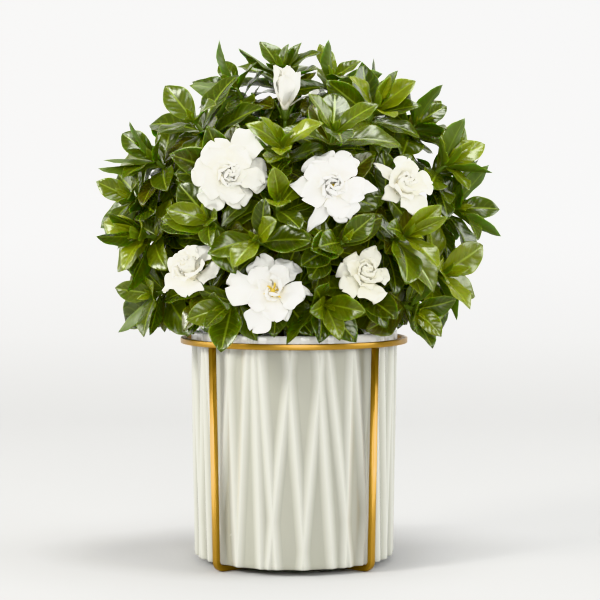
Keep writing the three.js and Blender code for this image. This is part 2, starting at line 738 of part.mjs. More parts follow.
const finish = (color, roughness, metalness = 0) => new THREE.MeshStandardMaterial({ color, roughness, metalness });
const glaze = finish(0xe9e7dc, 0.22);
const gold = finish(0xc8962e, 0.35, 1);
const mix = finish(0x2b2018, 0.95);
const bark = finish(0x5c4a33, 0.85);
const leafGreen = finish(0x2f5a1a, 0.35);
const petalWhite = finish(0xf6f4ea, 0.6);
const stamenYellow = finish(0xd9c23a, 0.7);

const plant = new THREE.Group();

function addPiece(name, solid, material) {
  const mesh = new THREE.Mesh(geometryOf(solid), material);
  mesh.name = name;
  plant.add(mesh);
}

addPiece("planter", planter(), glaze);
addPiece("stand_ring", standRing(), gold);
addPiece("stand_hoop", wholeHoop(45), gold);
addPiece("stand_half_hoop_left", halfHoop(135), gold);
addPiece("stand_half_hoop_right", halfHoop(-45), gold);
addPiece("potting_mix", soil(), mix);
STEM_HEADINGS.forEach((_, index) => addPiece(`woody_stem_${index + 1}`, woodyStem(index), bark));
shoots.forEach((shoot, index) => {
  const number = String(index + 1).padStart(2, "0");
  addPiece(`leafy_shoot_${number}`, leafyPart(shoot), leafGreen);
  if (!shoot.bloom) return;
  addPiece(`bloom_${number}`, bloomSolid(shoot, shoot.petals), petalWhite);
  if (shoot.bloom.form === "open" && index > 0) addPiece(`stamens_${number}`, stamens(shoot), stamenYellow);
});

export default plant;
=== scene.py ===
# A gardenia in bloom: glossy leaves and double white flowers in a glazed planter with a folded relief, which
# stands in a frame of square gold bar. Sizes are in millimetres, and MM turns them into the scene's metres.

import math

import bpy
import numpy as np
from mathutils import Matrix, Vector


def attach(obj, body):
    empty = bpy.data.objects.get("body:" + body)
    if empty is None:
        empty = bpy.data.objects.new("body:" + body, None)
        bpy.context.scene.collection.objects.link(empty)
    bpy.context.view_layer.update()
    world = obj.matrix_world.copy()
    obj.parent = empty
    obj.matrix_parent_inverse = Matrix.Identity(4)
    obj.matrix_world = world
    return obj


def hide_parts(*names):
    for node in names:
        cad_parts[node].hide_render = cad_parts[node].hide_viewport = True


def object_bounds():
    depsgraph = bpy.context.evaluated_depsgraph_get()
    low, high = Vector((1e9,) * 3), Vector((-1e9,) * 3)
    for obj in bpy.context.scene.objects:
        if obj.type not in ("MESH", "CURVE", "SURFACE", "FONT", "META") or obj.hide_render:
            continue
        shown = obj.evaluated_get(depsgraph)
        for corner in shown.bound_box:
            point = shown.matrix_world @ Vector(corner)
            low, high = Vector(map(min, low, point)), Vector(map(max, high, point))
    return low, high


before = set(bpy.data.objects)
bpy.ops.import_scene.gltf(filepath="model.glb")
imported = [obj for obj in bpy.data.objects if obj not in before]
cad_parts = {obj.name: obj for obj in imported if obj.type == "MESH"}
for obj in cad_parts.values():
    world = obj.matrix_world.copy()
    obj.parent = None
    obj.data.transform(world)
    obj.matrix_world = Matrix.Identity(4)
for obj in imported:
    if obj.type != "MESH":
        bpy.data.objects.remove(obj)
cad_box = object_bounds()
MM = 0.001


# Studio: a pale sheet that sweeps up behind the plant, a soft key light from the upper left, weaker lights
# from both sides and the front, and one overhead that puts the shine on the leaves. The air beyond the sheet
# lights the plant a little and is pale to the camera.
SHEET_HALF_WIDTH = 2.2
SHEET_FRONT = -2.0
SHEET_BEND_START = 1.0
SHEET_BEND_RADIUS = 1.2
SHEET_BEND_STEPS = 16
SHEET_TOP = 4.0
# The floor part of the one sheet is painted darker than the wall: a painted shade that pales to the wall's
# colour by SHEET_SHADED_TO metres up.
SHEET_SHADED_TO = 0.25
FLOOR_PAINTED_SHADE = (0.42, 0.42, 0.415, 1)
PAPER_WALL = (0.76, 0.76, 0.765, 1)
AIR = (1.0, 1.0, 1.0, 1)
AIR_LIGHT = 0.35
AIR_SEEN = 0.88
CAMERA_AT = (0.0051, -1.6, 0.3)
CAMERA_AIM = (0.0051, 0.0, 0.221)
CAMERA_LENS = 113.08


def give(tree, socket, source):
    """Sets a socket to a value, or links it to the output that feeds it."""
    if isinstance(source, bpy.types.NodeSocket):
        tree.links.new(source, socket)
    else:
        socket.default_value = source


def add_node(tree, kind, inputs=None, **settings):
    """Adds a shader node. An input is a value, or the output that feeds it."""
    made = tree.nodes.new(kind)
    for name, value in settings.items():
        setattr(made, name, value)
    for name, source in (inputs or {}).items():
        give(tree, made.inputs[name], source)
    return made


def feed(tree, node, **sources):
    """Links outputs, or sets values, on a node's sockets. Underscores in a name stand for spaces."""
    for name, source in sources.items():
        give(tree, node.inputs[name.replace("_", " ")], source)


def ranged(tree, value, low, high, bottom=0.0, top=1.0, **settings):
    """How far a value is from low to high, carried over to the same way from bottom to top."""
    return add_node(tree, "ShaderNodeMapRange", {
        "Value": value, "From Min": low, "From Max": high, "To Min": bottom, "To Max": top,
    }, **settings).outputs["Result"]


def new_material(name):
    """A material with an empty tree but for its Principled shader, which is returned with the tree."""
    material = bpy.data.materials.new(name)
    material.use_nodes = True
    tree = material.node_tree
    return material, tree, tree.nodes["Principled BSDF"]


def placed(name, data, place=(0, 0, 0), aim=None):
    """Puts a mesh, light or camera in the scene at its place, and turns it to its aim."""
    thing = bpy.data.objects.new(name, data)
    thing.location = place
    if aim:
        thing.rotation_euler = (Vector(aim) - Vector(place)).to_track_quat("-Z", "Y").to_euler()
    bpy.context.collection.objects.link(thing)
    return thing


def studio_sheet():
    line = [(SHEET_FRONT, 0.0), (SHEET_BEND_START, 0.0)]
    for step in range(1, SHEET_BEND_STEPS + 1):
        angle = math.pi / 2 * step / SHEET_BEND_STEPS
        back = SHEET_BEND_START + SHEET_BEND_RADIUS * math.sin(angle)
        line.append((back, SHEET_BEND_RADIUS * (1 - math.cos(angle))))
    line.append((SHEET_BEND_START + SHEET_BEND_RADIUS, SHEET_TOP))
    points = [(x, y, z) for y, z in line for x in (-SHEET_HALF_WIDTH, SHEET_HALF_WIDTH)]
    faces = [(2 * i, 2 * i + 1, 2 * i + 3, 2 * i + 2) for i in range(len(line) - 1)]
    mesh = bpy.data.meshes.new("studio_sheet")
    mesh.from_pydata(points, [], faces)
    mesh.shade_smooth()
    material, tree, shader = new_material("studio_paper")
    place = add_node(tree, "ShaderNodeTexCoord")
    height = add_node(tree, "ShaderNodeSeparateXYZ", {"Vector": place.outputs["Object"]})
    # Painted shade: the sheet is darker on the floor and pales to the wall colour a quarter metre up.
    paler = ranged(tree, height.outputs["Z"], 0.0, SHEET_SHADED_TO)
    shades = add_node(tree, "ShaderNodeValToRGB", {"Fac": paler})
    shades.color_ramp.elements[0].color = FLOOR_PAINTED_SHADE
    shades.color_ramp.elements[1].color = PAPER_WALL
    feed(tree, shader, Base_Color=shades.outputs["Color"], Roughness=0.9)
    mesh.materials.append(material)
    sheet = placed("studio_sheet", mesh)


def soft_light(name, place, aim, size, power, color):
    lamp = bpy.data.lights.new(name, "AREA")
    lamp.shape = "RECTANGLE"
    lamp.size, lamp.size_y = size
    lamp.energy = power
    lamp.color = color
    placed(name, lamp, place, aim)


studio_sheet()
soft_light("key_light", (-2.35, -1.4, 1.75), (0, 0, 0.25), (0.9, 0.9), 104, (1.0, 0.985, 0.95))
soft_light("left_light", (-2.6, 0.1, 0.9), (0, 0, 0.2), (1.4, 1.4), 42, (1.0, 0.99, 0.975))
soft_light("front_light", (0.3, -2.6, 0.75), (0, 0, 0.25), (1.5, 1.0), 48, (1.0, 0.99, 0.975))
soft_light("side_light", (2.6, -0.4, 1.2), (0, 0, 0.2), (1.9, 1.6), 80, (0.985, 0.99, 1.0))
soft_light("top_light", (0.3, -0.2, 2.3), (0, 0, 0.3), (1.2, 0.9), 48, (1.0, 1.0, 0.98))

world = bpy.context.scene.world or bpy.data.worlds.new("studio_air")
bpy.context.scene.world = world
world.use_nodes = True
ray = add_node(world.node_tree, "ShaderNodeLightPath")
seen = ranged(world.node_tree, ray.outputs["Is Camera Ray"], 0.0, 1.0, AIR_LIGHT, AIR_SEEN)
feed(world.node_tree, world.node_tree.nodes["Background"], Color=AIR, Strength=seen)
bpy.context.scene.view_settings.view_transform = "Khronos PBR Neutral"

camera_data = bpy.data.cameras.new("camera")
camera_data.lens = CAMERA_LENS
bpy.context.scene.camera = placed("camera", camera_data, CAMERA_AT, CAMERA_AIM)


# Planter: a thrown stoneware pot, its outside pressed into long folds that lean this way and that. Its warm
# white glaze is painted darker in the hollows between the folds, a painted shade that also stands for glaze
# pooled there. The rim and the inside are painted near white, a painted light against the leaves' shade. It
# stands on the crossed hoops.
BAR = 4.8
SEAT = 0.3
PLANTER_FOOT = BAR + SEAT
PLANTER_HEIGHT = 191
PLANTER_TOP_RADIUS = 88
PLANTER_FOOT_RADIUS = 85
PLANTER_WALL = 6
PLANTER_FLOOR = 8
PLANTER_LIP = 1.4
RIM_Z = PLANTER_FOOT + PLANTER_HEIGHT
INSIDE_Z = PLANTER_FOOT + PLANTER_FLOOR
INSIDE_TOP_RADIUS = PLANTER_TOP_RADIUS - PLANTER_WALL
INSIDE_FOOT_RADIUS = PLANTER_FOOT_RADIUS - PLANTER_WALL
DRAW_FACTOR = 1664525
DRAW_STEP = 1013904223
DRAW_RANGE = 4294967296
FOLD_COUNT = 48
FOLD_DEPTH = 2.6
FOLD_STEEPNESS = 0.42
FOLD_LEAST_SLANT = 5
FOLD_MOST_SLANT = 24
FOLD_SEED = 12
FOLD_SHARPNESS = 14.0
FOLD_ROUNDING = 0.03
PLANTER_COLUMNS = 960
PLANTER_ROWS = 64
UNDERSIDE_FOLD = 0.6
RIM_FOLD = 2.0
# Painted light: from this share of the way up, the rim band is painted near white against the shade of the
# leaves, and so is the inside.
RIM_PAINTED_LIGHT_FROM = 0.945
RIM_PAINTED_LIGHT_OVER = 0.03
GLAZE = (0.48, 0.48, 0.43, 1)
# Painted shade in the hollows between the folds, which also stands for glaze pooled there.
GLAZE_POOLED_AND_PAINTED_SHADE = (0.25, 0.25, 0.2, 1)
GLAZE_CLOUD = (0.25, 0.25, 0.195, 1)
# Painted light on the rim and the inside.
GLAZE_RIM_PAINTED_LIGHT = (0.95, 0.95, 0.92, 1)


def draws(seed):
    """Repeatable draws from 0 to 1."""
    state = seed
    while True:
        state = (state * DRAW_FACTOR + DRAW_STEP) % DRAW_RANGE
        yield state / DRAW_RANGE


def make_piece(name, points, faces, materials, nodes=(), attributes=None, face_materials=None):
    """Makes a smooth mesh from points in millimetres, which rides with the plant and stands for nodes."""
    mesh = bpy.data.meshes.new(name)
    corners = (np.asarray(points, float) * MM).tolist()
    mesh.from_pydata(corners, [], [[int(i) for i in face] for face in faces])
    for material in materials:
        mesh.materials.append(material)
    if face_materials is not None:
        mesh.polygons.foreach_set("material_index", np.asarray(face_materials, np.int32))
    for key, values in (attributes or {}).items():
        values = np.asarray(values, np.float32)
        kind, field = ("FLOAT_VECTOR", "vector") if values.ndim == 2 else ("FLOAT", "value")
        mesh.attributes.new(key, kind, "POINT").data.foreach_set(field, values.ravel())
    mesh.shade_smooth()
    piece = placed(name, mesh)
    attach(piece, "root")
    if nodes:
        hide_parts(*nodes)
    return piece


def turned_faces(rings, columns):
    """Faces between closed rings of columns points each, one after the other."""
    place = np.arange(rings * columns).reshape(rings, columns)
    beside = np.roll(place, -1, axis=1)
    return np.stack([place[:-1], beside[:-1], beside[1:], place[1:]], axis=-1).reshape(-1, 4).tolist()


def capped_faces(rings, columns):
    """The same faces, with one more that closes each end."""
    last = (rings - 1) * columns
    ends = [list(range(columns))[::-1], list(range(last, last + columns))]
    return turned_faces(rings, columns) + ends


def level_ring(radius, angle, z):
    return np.stack([radius * np.cos(angle), radius * np.sin(angle), z + 0 * angle], axis=-1)


def fold_heights(turn, rise):
    """How far the folds stand out, at a share of a turn round the planter and of the way up it."""
    draw = draws(FOLD_SEED)
    girth = math.tau * PLANTER_TOP_RADIUS
    total = np.ones(np.broadcast(turn, rise).shape)
    for k in range(FOLD_COUNT):
        slant = FOLD_LEAST_SLANT + (FOLD_MOST_SLANT - FOLD_LEAST_SLANT) * next(draw)
        line_turn = (k + 0.5 * next(draw)) / FOLD_COUNT
        away = turn - line_turn - (rise - 0.5) * (slant if k % 5 in (0, 2) else -slant) / girth
        away = np.abs(away - np.round(away)) * girth
        crease = np.sqrt(away**2 + FOLD_ROUNDING)
        total += np.exp(FOLD_SHARPNESS * (FOLD_DEPTH - FOLD_STEEPNESS * crease))
    return np.log(total) / FOLD_SHARPNESS


def shader_group(name, inputs, outputs):
    """An empty shader node group with its named inputs and outputs, and the nodes at its two ends."""
    group = bpy.data.node_groups.new(name, "ShaderNodeTree")
    for way, names in (("INPUT", inputs), ("OUTPUT", outputs)):
        for socket in names:
            group.interface.new_socket(socket, in_out=way, socket_type="NodeSocketFloat")
    return group, group.nodes.new("NodeGroupInput"), group.nodes.new("NodeGroupOutput")


def mottle_group():
    """Slow, faint unevenness: how it sways a colour and a roughness."""
    inputs = ("Scale", "Roughness Low", "Roughness High")
    group, entry, leave = shader_group("slow_mottle", inputs, ("Amount", "Roughness"))
    place = add_node(group, "ShaderNodeTexCoord")
    noise = add_node(group, "ShaderNodeTexNoise", {
        "Vector": place.outputs["Object"], "Scale": entry.outputs["Scale"], "Detail": 2.0,
    })
    low, high = entry.outputs["Roughness Low"], entry.outputs["Roughness High"]
    rough = ranged(group, noise.outputs["Fac"], 0.2, 0.8, low, high, clamp=False)
    feed(group, leave, Amount=noise.outputs["Fac"], Roughness=rough)
    return group


slow_mottle = mottle_group()


def mottle(tree, scale, low, high):
    return add_node(tree, "ShaderNodeGroup", {
        "Scale": scale, "Roughness Low": low, "Roughness High": high,
    }, node_tree=slow_mottle)


def mixed(tree, factor, first, second):
    """The output of a colour mix."""
    made = add_node(tree, "ShaderNodeMix", {0: factor, 6: first, 7: second}, data_type="RGBA")
    return made.outputs[2]


def attribute(tree, name):
    return add_node(tree, "ShaderNodeAttribute", attribute_name=name)


def glaze_material():
    material, tree, shader = new_material("warm_white_glaze")
    fold = attribute(tree, "fold").outputs["Fac"]
    sway = mottle(tree, 26.0, 0.2, 0.28)
    # Painted shade: the hollows between the folds are darkened, which also stands for glaze pooled there.
    base = mixed(tree, ranged(tree, fold, 0.0, 1.0, 0.85, 0.0), GLAZE, GLAZE_POOLED_AND_PAINTED_SHADE)
    tint = mixed(tree, sway.outputs["Amount"], base, mixed(tree, 0.1, base, GLAZE_CLOUD))
    # Painted light: the rim and the inside are painted near white.
    tint = mixed(tree, ranged(tree, fold, 1.1, RIM_FOLD), tint, GLAZE_RIM_PAINTED_LIGHT)
    feed(tree, shader, Base_Color=tint, Roughness=sway.outputs["Roughness"], Coat_Weight=0.75,
         Coat_Roughness=0.12)
    return material


def build_planter():
    turn = (np.arange(PLANTER_COLUMNS) / PLANTER_COLUMNS)[None, :]
    rise = np.linspace(0, 1, PLANTER_ROWS)[:, None]
    height = fold_heights(turn, rise)
    outside = PLANTER_FOOT_RADIUS + (PLANTER_TOP_RADIUS - PLANTER_FOOT_RADIUS) * rise - FOLD_DEPTH + height
    foot, rim = outside[0], outside[-1]
    underside = [
        (1, PLANTER_FOOT), (foot - 3.2, PLANTER_FOOT), (foot - 1.3, PLANTER_FOOT),
        (foot - 0.4, PLANTER_FOOT + 0.4),
    ]
    share = 1 - 2 * PLANTER_LIP / PLANTER_HEIGHT
    levels = [PLANTER_FOOT + PLANTER_LIP + PLANTER_HEIGHT * share * level for level in rise[:, 0]]
    inside = [
        (rim - 0.4, RIM_Z - 0.4), (rim - 1.4, RIM_Z), (INSIDE_TOP_RADIUS + 1.3, RIM_Z),
        (INSIDE_TOP_RADIUS + 0.35, RIM_Z - 0.35), (INSIDE_TOP_RADIUS, RIM_Z - 1.3),
        (INSIDE_TOP_RADIUS - 0.5, RIM_Z - 30), (INSIDE_FOOT_RADIUS, INSIDE_Z), (1, INSIDE_Z),
    ]
    rows = [*underside, *zip(outside, levels, strict=True), *inside]
    points = np.concatenate([level_ring(radius, math.tau * turn[0], z) for radius, z in rows])
    # The fold attribute sets the glaze's painted shade in the hollows; the rim band and the inside get
    # values past 1, for their painted light.
    rim_painted_light = RIM_FOLD * np.clip((rise - RIM_PAINTED_LIGHT_FROM) / RIM_PAINTED_LIGHT_OVER, 0, 1)
    fold = np.concatenate([
        np.full(PLANTER_COLUMNS * (len(underside) - 1), UNDERSIDE_FOLD), height[0] / FOLD_DEPTH,
        *(height / FOLD_DEPTH + rim_painted_light),
        np.full(PLANTER_COLUMNS * len(inside), RIM_FOLD),
    ])
    faces = capped_faces(len(rows), PLANTER_COLUMNS)
    make_piece("glazed_planter", points, faces, [glaze_material()], ["planter"], {"fold": fold})


build_planter()


# Stand: square steel bar, bent and welded, with a satin gold finish. Two hoops cross under the planter and
# carry a ring that lies on their four ends. The edges of the bar are a little rounded.
RING_RADIUS = 94
RING_DROP = 6
RING_COLUMNS = 192
HOOP_FOOT_RADIUS = 90
LEG_FOOT_Z = 20
BEND_RADIUS = 7
BEND_STEPS = 12
BAR_CORNER = 0.7
CORNER_STEPS = 3
GOLD = (0.42, 0.25, 0.055, 1)
GOLD_DEEP = (0.34, 0.2, 0.042, 1)
UP = np.array([0.0, 0.0, 1.0])


def bar_section():
    """The bar's outline, a square with rounded corners."""
    flat = BAR / 2 - BAR_CORNER
    outline = []
    for quarter, (x, y) in enumerate(((1, 1), (-1, 1), (-1, -1), (1, -1))):
        for step in range(CORNER_STEPS + 1):
            angle = math.pi / 2 * (quarter + step / CORNER_STEPS)
            across, up = BAR_CORNER * math.cos(angle), BAR_CORNER * math.sin(angle)
            outline.append((x * flat + across, y * flat + up))
    return np.array(outline)


def swept(centres, first, second, section, closed=False):
    """Points and faces of a section carried along centres, with its two directions given at each of them."""
    rings = centres[:, None] + first[:, None] * section[None, :, :1] + second[:, None] * section[None, :, 1:]
    count, sides = rings.shape[:2]
    if not closed:
        return rings.reshape(-1, 3), capped_faces(count, sides)
    last = (count - 1) * sides
    joint = [[last + i, last + (i + 1) % sides, (i + 1) % sides, i] for i in range(sides)]
    return rings.reshape(-1, 3), turned_faces(count, sides) + joint


def bumped(tree, height, strength, distance):
    """The normal of a surface that a height raises."""
    made = add_node(tree, "ShaderNodeBump", {"Height": height, "Strength": strength, "Distance": distance})
    return made.outputs["Normal"]


def mottled(name, scale, low, high, first, second, bump=None, **more):
    """A material that sways between two colours and two roughnesses. bump is its strength and distance."""
    material, tree, shader = new_material(name)
    sway = mottle(tree, scale, low, high)
    tint = mixed(tree, sway.outputs["Amount"], first, second)
    if bump:
        more["Normal"] = bumped(tree, sway.outputs["Amount"], *bump)
    feed(tree, shader, Base_Color=tint, Roughness=sway.outputs["Roughness"], **more)
    return material


def build_stand():
    gold = mottled("satin_gold", 90.0, 0.27, 0.42, GOLD, GOLD_DEEP, (0.3, 0.0002), Metallic=0.88)
    section = bar_section()
    out = level_ring(1, math.tau * np.arange(RING_COLUMNS) / RING_COLUMNS, 0)
    up = np.tile(UP, (RING_COLUMNS, 1))
    ring_top = RIM_Z - RING_DROP
    points, faces = swept(out * RING_RADIUS + up * (ring_top - BAR / 2), up, out, section, closed=True)
    make_piece("ring_bar", points, faces, [gold], ["stand_ring"])

    corner = HOOP_FOOT_RADIUS - BEND_RADIUS
    bend = [
        (corner + BEND_RADIUS * math.sin(a), BAR / 2 + BEND_RADIUS * (1 - math.cos(a)))
        for a in np.linspace(0, math.pi / 2, BEND_STEPS + 1)
    ]
    right = [*bend, (HOOP_FOOT_RADIUS + 0.2, LEG_FOOT_Z), (RING_RADIUS, ring_top - BAR - SEAT)]
    whole = [(-x, z) for x, z in reversed(right)] + right
    half = [(BAR / 2 + SEAT, BAR / 2), *right]
    bars = (("whole_hoop", whole, 45, "stand_hoop"), ("left_half_hoop", half, 135, "stand_half_hoop_left"),
            ("right_half_hoop", half, -45, "stand_half_hoop_right"))
    for name, line, heading, node in bars:
        line = np.array(line)
        heading = math.radians(heading)
        away = np.array([math.cos(heading), math.sin(heading), 0.0])
        across = np.array([-math.sin(heading), math.cos(heading), 0.0])
        slope = np.gradient(line, axis=0)
        slope[0] = line[1] - line[0]
        slope[-1] = line[-1] - line[-2]
        slope /= np.linalg.norm(slope, axis=1)[:, None]
        centres = line[:, :1] * away + line[:, 1:] * UP
        inward = -slope[:, 1:] * away + slope[:, :1] * UP
        points, faces = swept(centres, np.tile(across, (len(line), 1)), inward, section)
        make_piece(name, points, faces, [gold], [node])


build_stand()


# Potting mix: dark composted bark and peat, lumpy, with chips of bark and a few grains of perlite lying on
# it. It fills the planter to 20 mm below the rim, and is a little higher in the middle.
SOIL_BELOW_RIM = 20
SOIL_CROWN = 5
SOIL_RINGS = 46
SOIL_COLUMNS = 128
LUMP_WAVES = 26
CHIP_COUNT = 420
CHIP_SIZES = ((3, 2, 1), (9, 5, 2.4))
CHIP_SEED = 21
PERLITE_COUNT = 70
PERLITE_SIZES = ((1.4, 1.3, 1.2), (2.8, 2.6, 2.2))
PERLITE_SEED = 22
PEAT = (0.012, 0.008, 0.006, 1)
PEAT_DRY = (0.06, 0.037, 0.022, 1)
PEAT_GRAIN = (0.035, 0.022, 0.015, 1)
PERLITE = (0.72, 0.7, 0.64, 1)
PERLITE_DUSTY = (0.5, 0.46, 0.38, 1)


def lumps(x, y, reach, seed):
    """A smooth random surface from sums of waves, about 1 high."""
    rng = np.random.default_rng(seed)
    total = np.zeros(np.shape(x))
    for _ in range(LUMP_WAVES):
        angle, phase = rng.uniform(0, math.tau, 2)
        length = reach * rng.uniform(0.35, 1.6)
        total += np.sin((x * math.cos(angle) + y * math.sin(angle)) * math.tau / length + phase)
    return total / math.sqrt(LUMP_WAVES / 2)


def mix_material():
    material, tree, shader = new_material("dark_potting_mix")
    grain = add_node(tree, "ShaderNodeTexNoise", {"Scale": 900.0, "Detail": 6.0})
    coarse = add_node(tree, "ShaderNodeTexNoise", {"Scale": 160.0, "Detail": 3.0})
    dark = mixed(tree, coarse.outputs["Fac"], PEAT, PEAT_DRY)
    tint = mixed(tree, grain.outputs["Fac"], dark, PEAT_GRAIN)
    normal = bumped(tree, grain.outputs["Fac"], 0.9, 0.0012)
    feed(tree, shader, Base_Color=tint, Roughness=0.93, Normal=normal)
    return material


def soil_height(x, y):
    """The top of the mix at a place in the planter."""
    share = np.clip(np.hypot(x, y) / INSIDE_TOP_RADIUS, 0, 1)
    crown = SOIL_CROWN * np.interp(share, [0, 0.55, 1], [1, 0.7, 0])
    return RIM_Z - SOIL_BELOW_RIM + crown + 0.9 * lumps(x, y, 16, 11) + 0.45 * lumps(x, y, 5, 12) - 0.6


def chip(rng, size):
    """A rough flake: a box with its corners pushed about."""
    corners = np.array([[x, y, z] for x in (-1, 1) for y in (-1, 1) for z in (-1, 1)], float)
    corners *= np.array(size) / 2
    corners *= rng.uniform(0.55, 1.15, corners.shape)
    turn, tilt, roll = rng.uniform(0, math.tau), rng.normal(0, 0.35), rng.normal(0, 0.35)
    for (a, b), angle in (((1, 2), roll), ((0, 2), tilt), ((0, 1), turn)):
        first = corners[:, a] * math.cos(angle) - corners[:, b] * math.sin(angle)
        corners[:, b] = corners[:, a] * math.sin(angle) + corners[:, b] * math.cos(angle)
        corners[:, a] = first
    return corners


CHIP_FACES = np.array([[0, 1, 3, 2], [4, 6, 7, 5], [0, 4, 5, 1], [2, 3, 7, 6], [0, 2, 6, 4], [1, 5, 7, 3]])


def scatter_chips(name, count, sizes, seed, material):
    rng = np.random.default_rng(seed)
    points, faces = [], []
    for k in range(count):
        radius = (INSIDE_TOP_RADIUS - 4) * math.sqrt(rng.uniform())
        angle = rng.uniform(0, math.tau)
        x, y = radius * math.cos(angle), radius * math.sin(angle)
        size = rng.uniform(*sizes)
        points.append(chip(rng, size) + [x, y, float(soil_height(x, y)) + size[2] * 0.25])
        faces += (CHIP_FACES + 8 * k).tolist()
    piece = make_piece(name, np.concatenate(points), faces, [material])
    piece.data.polygons.foreach_set("use_smooth", np.zeros(len(faces), bool))


def build_potting_mix():
    angle = math.tau * np.arange(SOIL_COLUMNS) / SOIL_COLUMNS
    low = INSIDE_Z + SEAT
    edge = INSIDE_TOP_RADIUS - SEAT - 0.6
    rows = [(1.0, low), (INSIDE_FOOT_RADIUS - SEAT - 0.2, low), (edge, RIM_Z - SOIL_BELOW_RIM - 6)]
    for radius in np.linspace(edge, 0.6, SOIL_RINGS):
        rows.append((radius, soil_height(radius * np.cos(angle), radius * np.sin(angle))))
    points = np.concatenate([level_ring(radius, angle, z) for radius, z in rows])
    faces = capped_faces(len(rows), SOIL_COLUMNS)
    mix = mix_material()
    make_piece("potting_mix_bed", points, faces, [mix], ["potting_mix"])
    scatter_chips("bark_chips", CHIP_COUNT, CHIP_SIZES, CHIP_SEED, mix)
    perlite = mottled("perlite_grain", 700.0, 0.8, 0.95, PERLITE, PERLITE_DUSTY)
    scatter_chips("perlite_grains", PERLITE_COUNT, PERLITE_SIZES, PERLITE_SEED, perlite)


build_potting_mix()


# The plan of the plant: where each shoot's tip is, which stem carries it, and how each leaf and petal lies.
# The shoots' tips lie on a dome, and each leaf is turned, lifted or shortened until it is clear of the rest.
STEM_FOOT_RADIUS = 5.2
STEM_TOP_RADIUS = 2.6
STEM_DEPTH = 45
STEM_FOOT_REACH = 15
STEM_TOP_REACH = 44
STEM_ABOVE_RIM = 92
FIRST_FORK = 6
TWIG_RADIUS = 2.0
STEM_HEADINGS = (-90, 30, 150)
DOME_MIDDLE = 292
DOME_HALF_WIDTH = 131
DOME_HALF_DEPTH = 122
DOME_RISE = 112
DOME_FALL = 150
STALK = 32
STALK_ROOT_RADIUS = 2.0
STALK_TIP_RADIUS = 1.5
WHORL_STEP = 9
WHORL_LEAVES = 3
WHORL_AWAY = (76, 58, 34)
WHORL_LENGTHS = (0.94, 1, 0.78)
LEAF_LENGTH = 50
LEAF_WIDTH = 0.53
CALYX_LENGTH = 9
BLOOM_LEAF_LENGTH = 44
PETAL_SEED = 3000
BACK_SHOOTS = 12
BACK_LOWEST = 208
BACK_RISE = 180
GOLDEN_SHARE = 0.618034
# Each form of bloom, from wide open to a bud: how far it reaches ahead of its base, where its core ends, how
# wide the view of it is kept clear, and its whorls of petals from the outside in, with angles in degrees.
BLOOM_FORMS = {
    "open": {"reach": 11, "core": 8, "clear": 25, "whorls": (
        {"count": 6, "length": 29, "width": 30, "lean": 74, "bend": 22, "cup": 10, "rise": 2},
        {"count": 5, "length": 25, "width": 27, "lean": 55, "bend": 6, "cup": 16, "rise": 4},
        {"count": 4, "length": 18, "width": 19, "lean": 33, "bend": -24, "cup": 26, "rise": 6},
    )},
    "half": {"reach": 12, "core": 8, "clear": 18, "whorls": (
        {"count": 5, "length": 23, "width": 26, "lean": 62, "bend": 20, "cup": 12, "rise": 2},
        {"count": 4, "length": 21, "width": 22, "lean": 38, "bend": -10, "cup": 22, "rise": 4},
        {"count": 3, "length": 16, "width": 13, "lean": 18, "bend": -30, "cup": 34, "rise": 6},
    )},
    "bud": {"reach": 16, "core": 7, "clear": 9, "whorls": (
        {"count": 1, "length": 27, "width": 11, "lean": 50, "bend": 14, "cup": 14, "rise": 2},
        {"count": 4, "length": 33, "width": 22, "lean": 42, "bend": -62, "cup": 26, "rise": 3},
        {"count": 3, "length": 31, "width": 15, "lean": 20, "bend": -34, "cup": 36, "rise": 5},
    )},
}
# A leaf is tried with each of these lengths, lifts and turns. The space is a grid of cubes, each with the
# number of the piece that has taken it, and the pieces of one shoot share a hundred of numbers.
TURNS = (0, 12, -12, 24, -24, 36, -36)
LIFTS = (0, -14, 12, -28)
SHORTER = (1, 0.85, 0.7)
NEIGHBOURS = np.array([[0, 0, 0], [1, 0, 0], [-1, 0, 0], [0, 1, 0], [0, -1, 0], [0, 0, 1], [0, 0, -1]])
CUBE = 3.2
BAR_STEP = 2.5
GRID_MIDDLE = 80
NO_OWNER = -9999
OWNERS = 100
STALK_OWNER = 99
BLOOM_OWNER = 90000
LEAF_NUMBERS = (7000, 0)
LEAF_DROP = 4
KEEP_OFF = 3
MOUTH_DEPTH = 12
ROOT_SHARE = 0.4
taken = np.full((160, 160, 240), NO_OWNER, np.int32)


def unit(v):
    return np.asarray(v, float) / math.sqrt(float(np.dot(v, v)))


def sideways(axis):
    first = unit(np.cross(UP if abs(axis[2]) < 0.9 else [0, 1, 0], axis))
    return first, np.cross(axis, first)


def outward_from(axis, heading):
    """The way straight out from an axis, at a heading round it."""
    first, second = sideways(axis)
    return first * math.cos(heading) + second * math.sin(heading)


def leaning(axis, outward, away):
    """The way that leans outward from an axis, and the way that its upper side faces."""
    return (
        axis * math.cos(away) + outward * math.sin(away),
        axis * math.sin(away) - outward * math.cos(away),
    )


def rolled(along, facing, roll):
    """The sideways direction of a petal with one edge under the petal beside it."""
    return np.cross(along, facing) * math.cos(roll) + facing * math.sin(roll)


def leaf_outline(t):
    return np.sin(np.pi * t**1.15) ** 0.9


def petal_outline(t):
    return t**1.1 * np.sqrt(1 - t**5) / 0.642


def blade_of(root, along, side, length, width, bend, fold, phase, wave=0.1, waves=2.2, **more):
    """A leaf or a petal, which has a leaf's outline if more names no other. bend and fold are in degrees."""
    return {
        "root": root, "along": along, "side": side, "up": np.cross(side, along),
        "length": length, "width": width, "outline": leaf_outline,
        "bend": math.radians(bend), "fold": math.radians(fold),
        "wave": wave, "waves": waves, "phase": phase, **more,
    }


